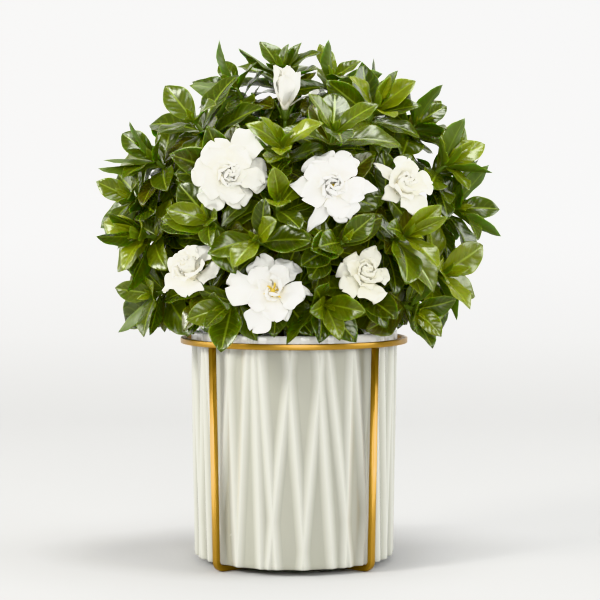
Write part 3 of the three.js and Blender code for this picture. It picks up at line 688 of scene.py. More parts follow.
def blade_frame(blade, t):
    """A blade's spine and the way its surface faces, at shares t of its length."""
    angle = blade["bend"] * t
    if abs(blade["bend"]) < 1e-6:
        run, drop = t, 0 * t
    else:
        run, drop = np.sin(angle) / blade["bend"], (1 - np.cos(angle)) / blade["bend"]
    spine = blade["root"] + (blade["length"] * run)[..., None] * blade["along"]
    spine = spine - (blade["length"] * drop)[..., None] * blade["up"]
    facing = np.cos(angle)[..., None] * blade["up"] + np.sin(angle)[..., None] * blade["along"]
    return spine, facing


def blade_points(blade, t, s, half=None):
    """Points of a blade, at t from root (0) to tip (1) and s from one margin (-1) to the other (1)."""
    spine, facing = blade_frame(blade, t)
    if half is None:
        half = blade["width"] / 2 * blade["outline"](t)
    wave = blade["wave"] * np.sin(math.tau * blade["waves"] * t + blade["phase"] * np.where(s < 0, 1, 2))
    raised = np.abs(s) * half * (math.sin(blade["fold"]) + wave)
    aside = (s * half * math.cos(blade["fold"]))[..., None] * blade["side"]
    return spine + aside + raised[..., None] * facing


def cubes(points):
    return np.floor(points / CUBE).astype(int) + GRID_MIDDLE


def claim(points, owner):
    """Takes the cubes that the points lie in, where nothing has them yet."""
    x, y, z = cubes(points).T
    free = taken[x, y, z] == NO_OWNER
    taken[x[free], y[free], z[free]] = owner


def is_free(points, t, owner, drop, around):
    """Whether a blade keeps clear of the planter and of every other piece but its own shoot's roots."""
    height, away = points[:, 2], np.hypot(points[:, 0], points[:, 1])
    by_ring = (height < RIM_Z + KEEP_OFF) & (away < RING_RADIUS + BAR / 2 + KEEP_OFF)
    low = (height < RIM_Z - drop) | by_ring
    mouth = (away < INSIDE_TOP_RADIUS - KEEP_OFF) & (height > RIM_Z - MOUTH_DEPTH)
    if np.any(low & ~mouth if around == 1 else low):
        return False
    if around == 1 and np.any((points * MM < cad_box[0]) | (points * MM > cad_box[1])):
        return False
    cells = cubes(points)[None] + NEIGHBOURS[:around, None]
    others = taken[cells[..., 0], cells[..., 1], cells[..., 2]]
    foreign = (others != NO_OWNER) & (others != owner)
    related = others // OWNERS == owner // OWNERS
    if np.any(foreign & ~related):
        return False
    return not np.any(foreign[0] & (t > ROOT_SHARE))


def blade_samples(blade):
    steps = math.ceil(blade["length"] / CUBE)
    t, s = [], []
    for i in range(1, steps + 1):
        share = i / steps
        across = max(1, math.ceil(blade["width"] * float(blade["outline"](min(share, 0.98))) / (2 * CUBE)))
        for k in range(-across, across + 1):
            t.append(share)
            s.append(k / across)
    t, s = np.array(t), np.array(s)
    return blade_points(blade, t, s), t


def bar_samples(points):
    found = []
    for start, end in zip(points[:-1], points[1:], strict=True):
        steps = math.ceil(float(np.linalg.norm(end - start)) / BAR_STEP)
        found += [start * (1 - k / steps) + end * (k / steps) for k in range(steps + 1)]
    return np.array(found)


def dome_height(z):
    return DOME_RISE if z > DOME_MIDDLE else DOME_FALL


def dome_depth(x, z):
    left = 1 - (x / DOME_HALF_WIDTH) ** 2 - ((z - DOME_MIDDLE) / dome_height(z)) ** 2
    return DOME_HALF_DEPTH * math.sqrt(max(0, left))


def leafy_shoot(x, y, z, lean, leaf_length=LEAF_LENGTH):
    tip = np.array([x, y, z], float)
    facing = unit([x / DOME_HALF_WIDTH**2, y / DOME_HALF_DEPTH**2, (z - DOME_MIDDLE) / dome_height(z) ** 2])
    return {"tip": tip, "axis": unit(facing + np.array(lean)), "leaf_length": leaf_length, "whorls": 3}


def front_shoot(x, z, lean, leaf_length=LEAF_LENGTH):
    return leafy_shoot(x, -dome_depth(x, z), z, lean, leaf_length)


def flowering_shoot(form, x, z, facing, depth=None):
    axis = unit(facing)
    depth = dome_depth(x, z) + 6 if depth is None else depth
    base = np.array([x, -depth, z], float) - axis * BLOOM_FORMS[form]["reach"]
    tip = base - axis * (CALYX_LENGTH + SEAT + 5)
    return {
        "tip": tip, "axis": axis, "leaf_length": BLOOM_LEAF_LENGTH, "whorls": 2, "bloom": form, "base": base,
    }


def back_shoot(k):
    z = BACK_LOWEST + BACK_RISE * ((k + 0.5) / BACK_SHOOTS)
    turn = math.radians(8 + 164 * ((k * GOLDEN_SHARE + 0.3) % 1))
    share = math.sqrt(1 - ((z - DOME_MIDDLE) / dome_height(z)) ** 2)
    x, y = DOME_HALF_WIDTH * share * math.cos(turn), DOME_HALF_DEPTH * share * math.sin(turn)
    return leafy_shoot(x, y, z, [0, 0, 0.35])


# The shoots: where the tip or the bloom is, how the shoot leans from the dome's own direction or which way
# its bloom faces, and how long its leaves are. Those at the back are spread evenly.
shoots = [
    flowering_shoot("open", -51, 326, [0.12, -1, 0.02]),
    flowering_shoot("open", 31, 316, [0.08, -1, 0.1]),
    flowering_shoot("half", 88, 319, [0.35, -0.9, 0.3]),
    flowering_shoot("half", -84, 251, [-0.45, -0.7, 0.55]),
    flowering_shoot("open", -16, 234, [-0.12, -1, 0.1]),
    flowering_shoot("half", 57, 247, [0.12, -0.9, 0.4]),
    flowering_shoot("bud", -7, 397, [0.02, -0.3, 1], 20),
    leafy_shoot(-10, 16, 412, [0, -0.9, 0.5], 48),
    leafy_shoot(32, 12, 406, [0.15, -0.8, 0.4], 44),
    leafy_shoot(-48, 6, 400, [-0.35, -0.8, 0.4], 48),
    front_shoot(-80, 368, [-0.2, -0.5, 0.3], 54),
    front_shoot(32, 358, [0.05, -0.2, 0.6], 56),
    leafy_shoot(66, -30, 378, [0.1, -0.7, 0.3], 52),
    leafy_shoot(102, -2, 368, [0.15, -0.8, 0.3], 48),
    leafy_shoot(126, -18, 334, [0.1, -0.8, 0.4], 52),
    front_shoot(-114, 338, [-0.1, -0.6, 0.4], 50),
    leafy_shoot(-134, -8, 306, [-0.1, -0.9, 0.3], 52),
    front_shoot(-122, 276, [-0.1, -0.6, 0.3], 50),
    front_shoot(-114, 228, [-0.1, -0.7, 0.15], 54),
    front_shoot(-66, 288, [-0.1, 0, 0.5], 48),
    front_shoot(-28, 274, [-0.2, 0, 0.35], 50),
    front_shoot(-8, 346, [-0.1, -0.2, 0.5], 50),
    front_shoot(38, 272, [0.2, 0, 0.4], 50),
    front_shoot(88, 276, [0.2, -0.2, 0.5], 52),
    front_shoot(122, 244, [0.1, -0.7, 0.5], 56),
    front_shoot(98, 216, [0.1, -0.5, 0.1], 50),
    front_shoot(24, 224, [0.2, 0, 0.3], 50),
    front_shoot(-50, 222, [-0.3, 0, 0.2], 46),
    leafy_shoot(136, 4, 298, [0.1, -0.8, 0.3], 52),
    *(back_shoot(k) for k in range(BACK_SHOOTS)),
    front_shoot(-12, 304, [0.15, 0, 0.9], 48),
]


def stem_point(heading, z):
    rise = max(0, (z - RIM_Z) / STEM_ABOVE_RIM)
    reach = STEM_FOOT_REACH + (STEM_TOP_REACH - STEM_FOOT_REACH) * rise
    heading = math.radians(heading)
    return np.array([reach * math.cos(heading), reach * math.sin(heading), z])


def nearest_stem(shoot):
    turn = math.atan2(shoot["tip"][1], shoot["tip"][0])
    return int(np.argmin([-math.cos(turn - math.radians(heading)) for heading in STEM_HEADINGS]))


def stalk_line(shoot):
    tip, axis = shoot["tip"], shoot["axis"]
    end = shoot["base"] - axis * (CALYX_LENGTH + SEAT) if "bloom" in shoot else tip + axis * 2
    return np.array([tip - axis * STALK, end])


def twig_points(shoot, shares):
    """Points of a shoot's twig, from the woody stem (0) to the foot of the green stalk (1)."""
    end = shoot["tip"] - shoot["axis"] * (STALK + SEAT)
    straight = math.hypot(end[0], end[1])
    fork_z = min(RIM_Z + STEM_ABOVE_RIM - 3, max(RIM_Z + FIRST_FORK, end[2] - 0.75 * straight))
    start = stem_point(STEM_HEADINGS[nearest_stem(shoot)], fork_z)
    bow = end - shoot["axis"] * 0.45 * float(np.linalg.norm(end - start))
    return np.array([start * (1 - t) ** 2 + bow * 2 * t * (1 - t) + end * t**2 for t in shares])


def leaf_blade(shoot, whorl, place, turn, lift, shorter, draw):
    heading = math.radians(360 * place / WHORL_LEAVES + 60 * whorl + 50 * draw[0] + turn)
    away = math.radians(WHORL_AWAY[whorl] + 12 * (draw[1] - 0.5) + lift)
    outward = outward_from(shoot["axis"], heading)
    along, facing = leaning(shoot["axis"], outward, away)
    along = unit(along - UP * 0.12)
    side = unit(np.cross(along, facing + UP * 0.3))
    root = shoot["tip"] + shoot["axis"] * (-WHORL_STEP * (2 - whorl) - 1) + outward * 0.35
    length = shoot["leaf_length"] * WHORL_LENGTHS[whorl] * (0.88 + 0.24 * draw[2]) * shorter
    width = length * LEAF_WIDTH * (0.92 + 0.16 * draw[3])
    return blade_of(root, along, side, length, width, 18 + 34 * draw[4], 8 + 11 * draw[5],
                    math.tau * draw[6], whorl=whorl)


def placed_leaf(shoot, whorl, place, make_blade, seed, owner, drop, around):
    """The first of the turns, lifts and lengths that is clear of everything placed before, or nothing."""
    stream = draws(seed)
    draw = [next(stream) for _ in range(7)]
    for shorter in SHORTER:
        for lift in LIFTS:
            for turn in TURNS:
                blade = make_blade(shoot, whorl, place, turn, lift, shorter, draw)
                points, t = blade_samples(blade)
                if is_free(points, t, owner, drop, around):
                    claim(points, owner)
                    return blade
    return None


def leaf_numbers(index, whorl, place, seed, owner):
    """The seed and the owner's number of a leaf, counted from the first of its kind."""
    return seed + index * 97 + whorl * 13 + place, index * OWNERS + owner + whorl * 10 + place


def bloom_petals(shoot, index):
    axis = shoot["axis"]
    stream = draws(PETAL_SEED + index * 31)
    petals = []
    for level, whorl in enumerate(BLOOM_FORMS[shoot["bloom"]]["whorls"]):
        for k in range(whorl["count"]):
            draw = [next(stream) for _ in range(6)]
            heading = 360 * (k + 0.5 * level) / whorl["count"] + 8 * (draw[0] - 0.5) + 25 * level
            outward = outward_from(axis, math.radians(heading))
            along, facing = leaning(axis, outward, math.radians(whorl["lean"] + 9 * (draw[1] - 0.5)))
            side = rolled(along, facing, math.radians(12 + 8 * (draw[2] - 0.5)))
            root = shoot["base"] + axis * whorl["rise"] + outward * 2.8
            length = whorl["length"] * (0.92 + 0.16 * draw[3])
            width = whorl["width"] * (0.92 + 0.16 * draw[4])
            petals.append(blade_of(
                root, along, side, length, width, whorl["bend"], whorl["cup"], math.tau * draw[5],
                outline=petal_outline, wave=0.14, waves=1.6, level=level,
            ))
    return petals


def open_space(shoot):
    """The space between a bloom and the front, which the leaves leave open."""
    form = BLOOM_FORMS[shoot["bloom"]]
    ahead = unit(shoot["axis"] + [0, -1, 0])
    middle = shoot["base"] + shoot["axis"] * form["core"]
    found = []
    for out in range(6, 61, 3):
        for radius in range(0, form["clear"] + 1, 3):
            around = max(1, math.ceil(math.tau * radius / 3))
            for k in range(around):
                found.append(middle + ahead * out + radius * outward_from(ahead, math.tau * k / around))
    return np.array(found)


def plan_plant():
    for index, shoot in enumerate(shoots):
        claim(bar_samples(twig_points(shoot, (0, 0.5, 1))), -1 - nearest_stem(shoot))
        claim(bar_samples(stalk_line(shoot)), index * OWNERS + STALK_OWNER)
    for index, heading in enumerate(STEM_HEADINGS):
        ends = np.array([stem_point(heading, RIM_Z), stem_point(heading, RIM_Z + STEM_ABOVE_RIM)])
        claim(bar_samples(ends), -1 - index)
    for index, shoot in enumerate(shoots):
        shoot["leaves"] = []
        shoot["petals"] = bloom_petals(shoot, index) if "bloom" in shoot else []
        for petal in shoot["petals"]:
            claim(blade_samples(petal)[0], BLOOM_OWNER + index)
        if "bloom" in shoot:
            claim(open_space(shoot), BLOOM_OWNER + index)
    for whorl in (2, 1, 0):
        for index, shoot in enumerate(shoots):
            for place in range(WHORL_LEAVES if whorl < shoot["whorls"] else 0):
                numbers = leaf_numbers(index, whorl, place, *LEAF_NUMBERS)
                leaf = placed_leaf(shoot, whorl, place, leaf_blade, *numbers, LEAF_DROP, len(NEIGHBOURS))
                if leaf:
                    shoot["leaves"].append(leaf)


plan_plant()


# Woody stems: three grey-brown trunks with a twig to every shoot on their side. The bark is rough, and the
# twigs carry the rings of old leaf scars.
STEM_SIDES = 14
STEM_RINGS = 46
TWIG_SIDES = 9
TWIG_RINGS = 26
RINGS_A_SCAR = 5
STEM_SEED = 40
BARK_DARK = (0.045, 0.028, 0.016, 1)
BARK_RIDGE = (0.19, 0.135, 0.085, 1)
BARK_PATCH = (0.1, 0.078, 0.05, 1)


def tube(centres, radii, sides):
    """Points and faces of a round bar along centres, closed at both ends."""
    centres = np.asarray(centres, float)
    along = np.gradient(centres, axis=0)
    angle = math.tau * np.arange(sides) / sides
    circle = np.stack([np.cos(angle), np.sin(angle)], axis=-1)
    first, second = [], []
    previous = None
    for direction in along:
        direction = unit(direction)
        if previous is None:
            previous, _ = sideways(direction)
        across = unit(previous - direction * float(np.dot(previous, direction)))
        first.append(across)
        second.append(np.cross(direction, across))
        previous = across
    rings = centres[:, None] + (
        np.array(first)[:, None] * circle[None, :, :1] + np.array(second)[:, None] * circle[None, :, 1:]
    ) * np.asarray(radii)[:, None, None]
    return rings.reshape(-1, 3), capped_faces(len(centres), sides)


def joined(parts):
    """One set of points and faces from several."""
    points, faces, start = [], [], 0
    for own_points, own_faces in parts:
        points.append(own_points)
        faces += [[i + start for i in face] for face in own_faces]
        start += len(own_points)
    return np.concatenate(points), faces


def bark_material():
    material, tree, shader = new_material("grey_brown_bark")
    place = add_node(tree, "ShaderNodeTexCoord")
    stretched = add_node(tree, "ShaderNodeMapping", {
        "Vector": place.outputs["Object"], "Scale": (1.0, 1.0, 0.28),
    })
    ridges = add_node(tree, "ShaderNodeTexNoise", {
        "Vector": stretched.outputs["Vector"], "Scale": 900.0, "Detail": 5.0, "Roughness": 0.65,
    })
    patches = mottle(tree, 120.0, 0.75, 0.95)
    tint = mixed(tree, ridges.outputs["Fac"], BARK_DARK, BARK_RIDGE)
    tint = mixed(tree, patches.outputs["Amount"], tint, BARK_PATCH)
    normal = bumped(tree, ridges.outputs["Fac"], 0.8, 0.0009)
    feed(tree, shader, Base_Color=tint, Roughness=patches.outputs["Roughness"], Normal=normal)
    return material


def build_woody_stems():
    bark = bark_material()
    levels = np.linspace(RIM_Z - SOIL_BELOW_RIM - STEM_DEPTH, RIM_Z + STEM_ABOVE_RIM, STEM_RINGS)
    scars = 1 + 0.12 * (np.arange(TWIG_RINGS) % RINGS_A_SCAR == RINGS_A_SCAR - 1)
    twig_radii = np.linspace(TWIG_RADIUS + 0.5, TWIG_RADIUS, TWIG_RINGS) * scars
    for index, heading in enumerate(STEM_HEADINGS):
        rng = np.random.default_rng(STEM_SEED + index)
        trunk = np.array([stem_point(heading, z) for z in levels])
        trunk[:, :2] += rng.normal(0, 0.16, (STEM_RINGS, 2))
        radii = np.linspace(STEM_FOOT_RADIUS, STEM_TOP_RADIUS, STEM_RINGS)
        radii *= rng.uniform(0.94, 1.06, STEM_RINGS)
        parts = [tube(trunk, radii, STEM_SIDES)]
        for shoot in shoots:
            if nearest_stem(shoot) == index:
                parts.append(tube(twig_points(shoot, np.linspace(0, 1, TWIG_RINGS)), twig_radii, TWIG_SIDES))
        points, faces = joined(parts)
        make_piece(f"bark_stem_{index + 1}", points, faces, [bark], [f"woody_stem_{index + 1}"])


build_woody_stems()


# Leaves: thick, waxy and dark above, paler and duller below, with a pale midrib and side veins sunk between
# swellings. They grow in threes on green stalks, and the youngest at the tips are small and yellow-green.
LEAF_ROWS = 17
LEAF_COLUMNS = np.array([-1, -0.94, -0.66, -0.36, -0.09, 0, 0.09, 0.36, 0.66, 0.94, 1])
LEAF_THICKNESS = 0.9
PETIOLE_HALF_WIDTH = 0.9
VEIN_PAIRS = 8.0
VEIN_LAG = 0.2
VEIN_CURVE = 1.35
BRIGHT_SHOOTS = (14, 24, 23, 12, 21, 17)
WHORL_YOUTH = (0.14, 0.27, 0.45)
LEAF_YOUTH_SEED = 900
YOUNG_LENGTHS = (19, 16, 11, 9)
YOUNG_STRETCH = 1.7
YOUNG_LEAF_SEED = 600
CALYX_LOBES = 6
GOLDEN_ANGLE = 2.4
LEAF_OLDEST = (0.055, 0.038, 0.005, 1)
LEAF_BETWEEN = {0.08: (0.011, 0.018, 0.002, 1), 0.42: (0.055, 0.073, 0.006, 1)}
LEAF_YOUNGEST = (0.28, 0.315, 0.025, 1)
LEAF_CLOUD = (0.035, 0.05, 0.004, 1)
LEAF_VEIN = (0.22, 0.29, 0.04, 1)
LEAF_MIDRIB = (0.34, 0.44, 0.06, 1)
# The leaf's margin is painted paler: partly the thin edge's own lighter green, partly a painted rim
# highlight.
LEAF_MARGIN_AND_PAINTED_HIGHLIGHT = (0.27, 0.33, 0.05, 1)
LEAF_UNDERSIDE = (0.1, 0.145, 0.03, 1)
STALK_GREEN = (0.08, 0.15, 0.03, 1)
STALK_YELLOW = (0.16, 0.2, 0.06, 1)


def maths(tree, operation, *values):
    """The output of a sum on one or two values."""
    return add_node(tree, "ShaderNodeMath", dict(enumerate(values)), operation=operation).outputs[0]


def eased(tree, *values):
    """A range that starts and ends gently."""
    return ranged(tree, *values, interpolation_type="SMOOTHSTEP")


def vein_group():
    """A leaf's midrib and side veins: masks of both, and how high the blade swells between them."""
    outputs = ("Midrib", "Veins", "Margin", "Swelling")
    group, entry, leave = shader_group("leaf_veins", ("Along", "Across", "Pairs"), outputs)
    away = maths(group, "ABSOLUTE", entry.outputs["Across"])
    lag = maths(group, "MULTIPLY", maths(group, "POWER", away, VEIN_CURVE), VEIN_LAG)
    level = maths(group, "SUBTRACT", entry.outputs["Along"], lag)
    level = maths(group, "MULTIPLY", level, entry.outputs["Pairs"])
    swing = maths(group, "COSINE", maths(group, "MULTIPLY", level, math.tau))
    inner = eased(group, away, 0.72, 0.98, 1.0, 0.0)
    between = maths(group, "MULTIPLY", inner, eased(group, away, 0.04, 0.3, 0.0, 0.5))
    feed(
        group, leave,
        Midrib=eased(group, away, 0.02, 0.1, 1.0, 0.0),
        Veins=maths(group, "MULTIPLY", eased(group, swing, 0.72, 1.0), inner),
        Margin=eased(group, away, 0.9, 1.0),
        Swelling=maths(group, "MULTIPLY", maths(group, "SUBTRACT", 1.0, swing), between),
    )
    return group


leaf_veins = vein_group()


def leaf_material():
    material, tree, shader = new_material("waxy_leaf")
    parts = add_node(tree, "ShaderNodeSeparateXYZ", {"Vector": attribute(tree, "blade").outputs["Vector"]})
    under = parts.outputs["Z"]
    veins = add_node(tree, "ShaderNodeGroup", {
        "Along": parts.outputs["X"], "Across": parts.outputs["Y"], "Pairs": VEIN_PAIRS,
    }, node_tree=leaf_veins)
    ages = add_node(tree, "ShaderNodeValToRGB", {"Fac": attribute(tree, "youth").outputs["Fac"]})
    stops = ages.color_ramp.elements
    stops[0].color = LEAF_OLDEST
    stops[1].color = LEAF_YOUNGEST
    for age, color in LEAF_BETWEEN.items():
        stops.new(age).color = color
    sway = mottle(tree, 60.0, 0.2, 0.34)
    tint = mixed(tree, sway.outputs["Amount"], ages.outputs["Color"], LEAF_CLOUD)
    for mask, share, color in (
        (veins.outputs["Veins"], 0.13, LEAF_VEIN),
        (veins.outputs["Midrib"], 0.4, LEAF_MIDRIB),
        # The paler margin: partly the thin edge's own tint, partly a painted rim highlight.
        (veins.outputs["Margin"], 0.35, LEAF_MARGIN_AND_PAINTED_HIGHLIGHT),
        (under, 0.55, LEAF_UNDERSIDE),
    ):
        tint = mixed(tree, mask, tint, mixed(tree, share, tint, color))
    rough = ranged(tree, under, 0.0, 1.0, sway.outputs["Roughness"], 0.55)
    normal = bumped(tree, veins.outputs["Swelling"], 0.3, 0.0004)
    feed(tree, shader, Base_Color=tint, Roughness=rough, Normal=normal,
         Coat_Weight=0.04, Coat_Roughness=0.15, Specular_IOR_Level=0.5, Specular_Tint=(0.96, 1.0, 0.88, 1),
         Subsurface_Weight=0.2, Subsurface_Radius=(0.45, 1.0, 0.08), Subsurface_Scale=0.003)
    return material


def fine_blade(blade, rows, columns, thickness, half, shaped):
    """A thin closed blade. half gives its half width at each row, and shaped moves its face's points."""
    t, s = np.meshgrid(rows, columns, indexing="ij")
    flat = blade_points(blade, t, s, np.broadcast_to(half[:, None], t.shape))
    _, facing = blade_frame(blade, t)
    face = shaped(flat, facing, t, s)
    swell = (thickness / 2 * (1 - np.abs(s) ** 3))[..., None] * facing
    upper, lower = face + swell, face - swell
    count, across = t.shape
    top = np.arange(count * across).reshape(count, across)
    under = top + count * across
    under[:, 0] = top[:, 0]
    under[:, -1] = top[:, -1]
    top[-1] = top[-1, 0]
    under[-1] = top[-1, 0]

    def cells(index, flip):
        a, b, c, d = index[:-1, :-1], index[:-1, 1:], index[1:, 1:], index[1:, :-1]
        first, second = np.stack([a, b, c], -1), np.stack([a, c, d], -1)
        found = np.concatenate([first.reshape(-1, 3), second.reshape(-1, 3)])
        return found[:, ::-1] if flip else found

    root = np.concatenate([
        np.stack([top[0, :-1], under[0, :-1], under[0, 1:]], -1),
        np.stack([top[0, :-1], under[0, 1:], top[0, 1:]], -1),
    ])
    faces = np.concatenate([cells(top, False), cells(under, True), root])
    distinct = (faces[:, 0] != faces[:, 1]) & (faces[:, 1] != faces[:, 2]) & (faces[:, 0] != faces[:, 2])
    faces = faces[distinct]
    points = np.concatenate([upper.reshape(-1, 3), lower.reshape(-1, 3)])
    where = np.stack([t, s, 0 * t], -1).reshape(-1, 3)
    where = np.concatenate([where, where + [0, 0, 1]])
    used, faces = np.unique(faces, return_inverse=True)
    return points[used], faces.reshape(-1, 3), where[used]


def leaf_sheet(blade, row_count=LEAF_ROWS, columns=LEAF_COLUMNS):
    rows = np.linspace(0, 1, row_count)
    half = np.maximum(blade["width"] / 2 * blade["outline"](rows), PETIOLE_HALF_WIDTH * (rows < 0.15))

    def shaped(face, facing, t, s):
        swing = np.cos(math.tau * VEIN_PAIRS * (t - VEIN_LAG * np.abs(s) ** VEIN_CURVE))
        swelling = 0.06 * (1 - swing) * (1 - s**4) * np.clip(np.abs(s) * 3, 0, 1)
        groove = -0.35 * np.exp(-((s / 0.08) ** 2)) * np.sin(np.pi * np.clip(t * 1.1, 0, 1))
        return face + (swelling + groove)[..., None] * facing

    return fine_blade(blade, rows, columns, LEAF_THICKNESS, half, shaped)


def blade_collection(blades, make_sheet):
    """One set of points, faces and places from many blades, with each blade's youth."""
    points, faces, where, youth, start = [], [], [], [], 0
    for blade in blades:
        own_points, own_faces, own_where = make_sheet(blade)
        points.append(own_points)
        faces.append(own_faces + start)
        where.append(own_where)
        youth.append(np.full(len(own_points), blade["youth"]))
        start += len(own_points)
    return np.concatenate(points), np.concatenate(faces), np.concatenate(where), np.concatenate(youth)


def with_plain_parts(blades, parts, make_sheet):
    """Adds parts that aren't blades, which get the second material."""
    points, faces, where, youth = blade_collection(blades, make_sheet)
    own_points, own_faces = joined(parts)
    start = len(points)
    all_faces = faces.tolist() + [[i + start for i in face] for face in own_faces]
    marks = [0] * len(faces) + [1] * len(own_faces)
    where = np.concatenate([where, np.zeros((len(own_points), 3))])
    youth = np.concatenate([youth, np.zeros(len(own_points))])
    return np.concatenate([points, own_points]), all_faces, {"blade": where, "youth": youth}, marks


def young_leaves(shoot, index):
    """The small upright leaves that are opening at a shoot's tip."""
    rng = np.random.default_rng(YOUNG_LEAF_SEED + index)
    turn = rng.uniform(0, math.tau)
    leaves = []
    for k, length in enumerate(YOUNG_LENGTHS):
        away = math.radians(rng.uniform(9, 20) + 5 * (k < 2))
        outward = outward_from(shoot["axis"], turn + k * GOLDEN_ANGLE)
        along, facing = leaning(shoot["axis"], outward, away)
        along = unit(along)
        side = unit(np.cross(along, facing))
        length *= rng.uniform(0.8, 1.2) * (YOUNG_STRETCH if index in BRIGHT_SHOOTS else 1)
        root = shoot["tip"] + shoot["axis"] * 1.0 + outward * 0.4
        leaves.append(blade_of(
            root, along, side, length, length * 0.36, rng.uniform(-10, 25), 28, 0.0,
            wave=0.05, waves=1.5, youth=rng.uniform(0.75, 1.0),
        ))
    return leaves


def calyx_parts(shoot):
    """The green cup under a bloom, with a rib down to each of its six long narrow lobes."""
    foot, axis = stalk_line(shoot)[1] - shoot["axis"], shoot["axis"]
    shares = np.linspace(0, 1, 12)
    radii = np.interp(shares, [0, 0.1, 0.45, 0.8, 1], [1.5, 1.9, 3.3, 3.1, 2.9])
    centres = foot + shares[:, None] * (CALYX_LENGTH + 0.9) * axis
    parts = [tube(centres, radii, 12)]
    along = np.linspace(0, 1, 9)[:, None]
    spread = 2.2 + 1.4 * np.sin(along * 2.2) + 5.5 * along**2
    lobe_radii = np.interp(along[:, 0], [0, 0.5, 1], [0.8, 0.9, 0.15])
    for k in range(CALYX_LOBES):
        outward = outward_from(axis, math.tau * k / CALYX_LOBES)
        parts.append(tube(foot + axis * 2 + outward * spread + axis * 15 * along, lobe_radii, 6))
    return parts


def build_shoots():
    leaf = leaf_material()
    stalk = mottled("green_stalk", 220.0, 0.42, 0.6, STALK_GREEN, STALK_YELLOW, (0.4, 0.0004))
    shares = np.linspace(0, 1, 12)
    swellings = 1 + 0.18 * (np.arange(12) % 3 == 2)
    radii = np.linspace(STALK_ROOT_RADIUS, STALK_TIP_RADIUS, 12) * swellings
    for index, shoot in enumerate(shoots):
        rng = np.random.default_rng(LEAF_YOUTH_SEED + index)
        for blade in shoot["leaves"]:
            youth = WHORL_YOUTH[blade["whorl"]] + rng.normal(0, 0.16) + 0.25 * (index in BRIGHT_SHOOTS)
            blade["youth"] = float(np.clip(youth, 0, 0.85))
        blades = list(shoot["leaves"])
        ends = stalk_line(shoot)
        line = ends[0] * (1 - shares[:, None]) + ends[1] * shares[:, None]
        parts = [tube(line, radii, 10)]
        if "bloom" in shoot:
            parts += calyx_parts(shoot)
        else:
            blades += young_leaves(shoot, index)
        points, faces, attributes, marks = with_plain_parts(blades, parts, leaf_sheet)
        number = f"{index + 1:02d}"
        make_piece(f"shoot_{number}", points, faces, [leaf, stalk], [f"leafy_shoot_{number}"],
                   attributes, marks)
    return leaf


leaf_finish = build_shoots()


# Inner leaves: older and darker ones lower down the twigs and on the stems, which fill the plant behind the
# outer whorls. With them are narrow leaves that stand out at the plant's sides and top, and a few that hang
# outside the ring. They grow on the same stalks, twigs and stems as the rest.
INNER_STEPS = (-14, -25, -38, -52, -70, -90)
INNER_AWAY = (66, 52, 44, 42, 40, 40)
INNER_COLUMNS = np.array([-1, -0.9, -0.45, 0, 0.45, 0.9, 1])
INNER_ROWS = 12
INNER_LENGTH = 48
INNER_NUMBERS = (50000, 50)
EDGE_BEYOND = 96
EDGE_ABOVE = 372
EDGE_HEADINGS = (24, -36, 76)
EDGE_LENGTH = 46
EDGE_NUMBERS = (60000, 45)
DROOP_BELOW = 234
DROOP_REACH = 16
DROOP_HEADINGS = (0, 60, -60)
DROOP_LENGTH = 44
DROOP_NUMBERS = (70000, 40)
LOW_WHORLS = 4
LOW_LEAVES = 7
LOW_STEP = 7
LOW_LENGTH = 50
LOW_SEED = 80000
LOW_OWNER = -5


def twig_place(shoot, step):
    """A point on a shoot's stalk, or on its twig where the step back is longer than the stalk."""
    if step > -STALK:
        return shoot["tip"] + shoot["axis"] * step
    twig = twig_points(shoot, (0, 0.25, 0.5, 0.75, 1))
    twig_length = float(np.sum(np.linalg.norm(np.diff(twig, axis=0), axis=1)))
    share = 1 + (step + STALK) / twig_length
    return twig_points(shoot, (max(share, 0.1),))[0]


def inner_blade(shoot, whorl, place, turn, lift, shorter, draw):
    heading = math.radians(360 * place / WHORL_LEAVES + 60 * whorl + 90 * draw[0] + turn)
    away = math.radians(INNER_AWAY[whorl] + 24 * (draw[1] - 0.5) + lift)
    outward = outward_from(shoot["axis"], heading)
    along, facing = leaning(shoot["axis"], outward, away)
    along = unit(along - UP * 0.1)
    side = unit(np.cross(along, facing + UP * 0.3))
    root = twig_place(shoot, INNER_STEPS[whorl]) + outward * 0.6
    length = INNER_LENGTH * (0.85 + 0.3 * draw[2]) * shorter
    width = length * 0.5 * (0.9 + 0.2 * draw[3])
    youth = max(0, 0.36 * draw[3] - 0.14)
    return blade_of(root, along, side, length, width, 14 + 30 * draw[4], 8 + 12 * draw[5],
                    math.tau * draw[6], youth=youth)


def low_blade(heading, whorl, place, turn, lift, shorter, draw):
    """A leaf on a woody stem, just above the mix."""
    angle = math.radians(360 * place / LOW_LEAVES + 40 * whorl + 50 * draw[0] + turn)
    outward = np.array([math.cos(angle), math.sin(angle), 0.0])
    along = unit(outward + UP * math.tan(math.radians(14 - 30 * draw[1] - lift)))
    side = unit(np.cross(along, UP))
    root = stem_point(heading, RIM_Z + 5 + LOW_STEP * whorl) + outward * STEM_FOOT_RADIUS * 0.8
    length = LOW_LENGTH * (0.85 + 0.3 * draw[2]) * shorter
    width = length * 0.5 * (0.9 + 0.2 * draw[3])
    return blade_of(root, along, side, length, width, 10 + 30 * draw[4], 8 + 12 * draw[5],
                    math.tau * draw[6], youth=0.25 * draw[3])


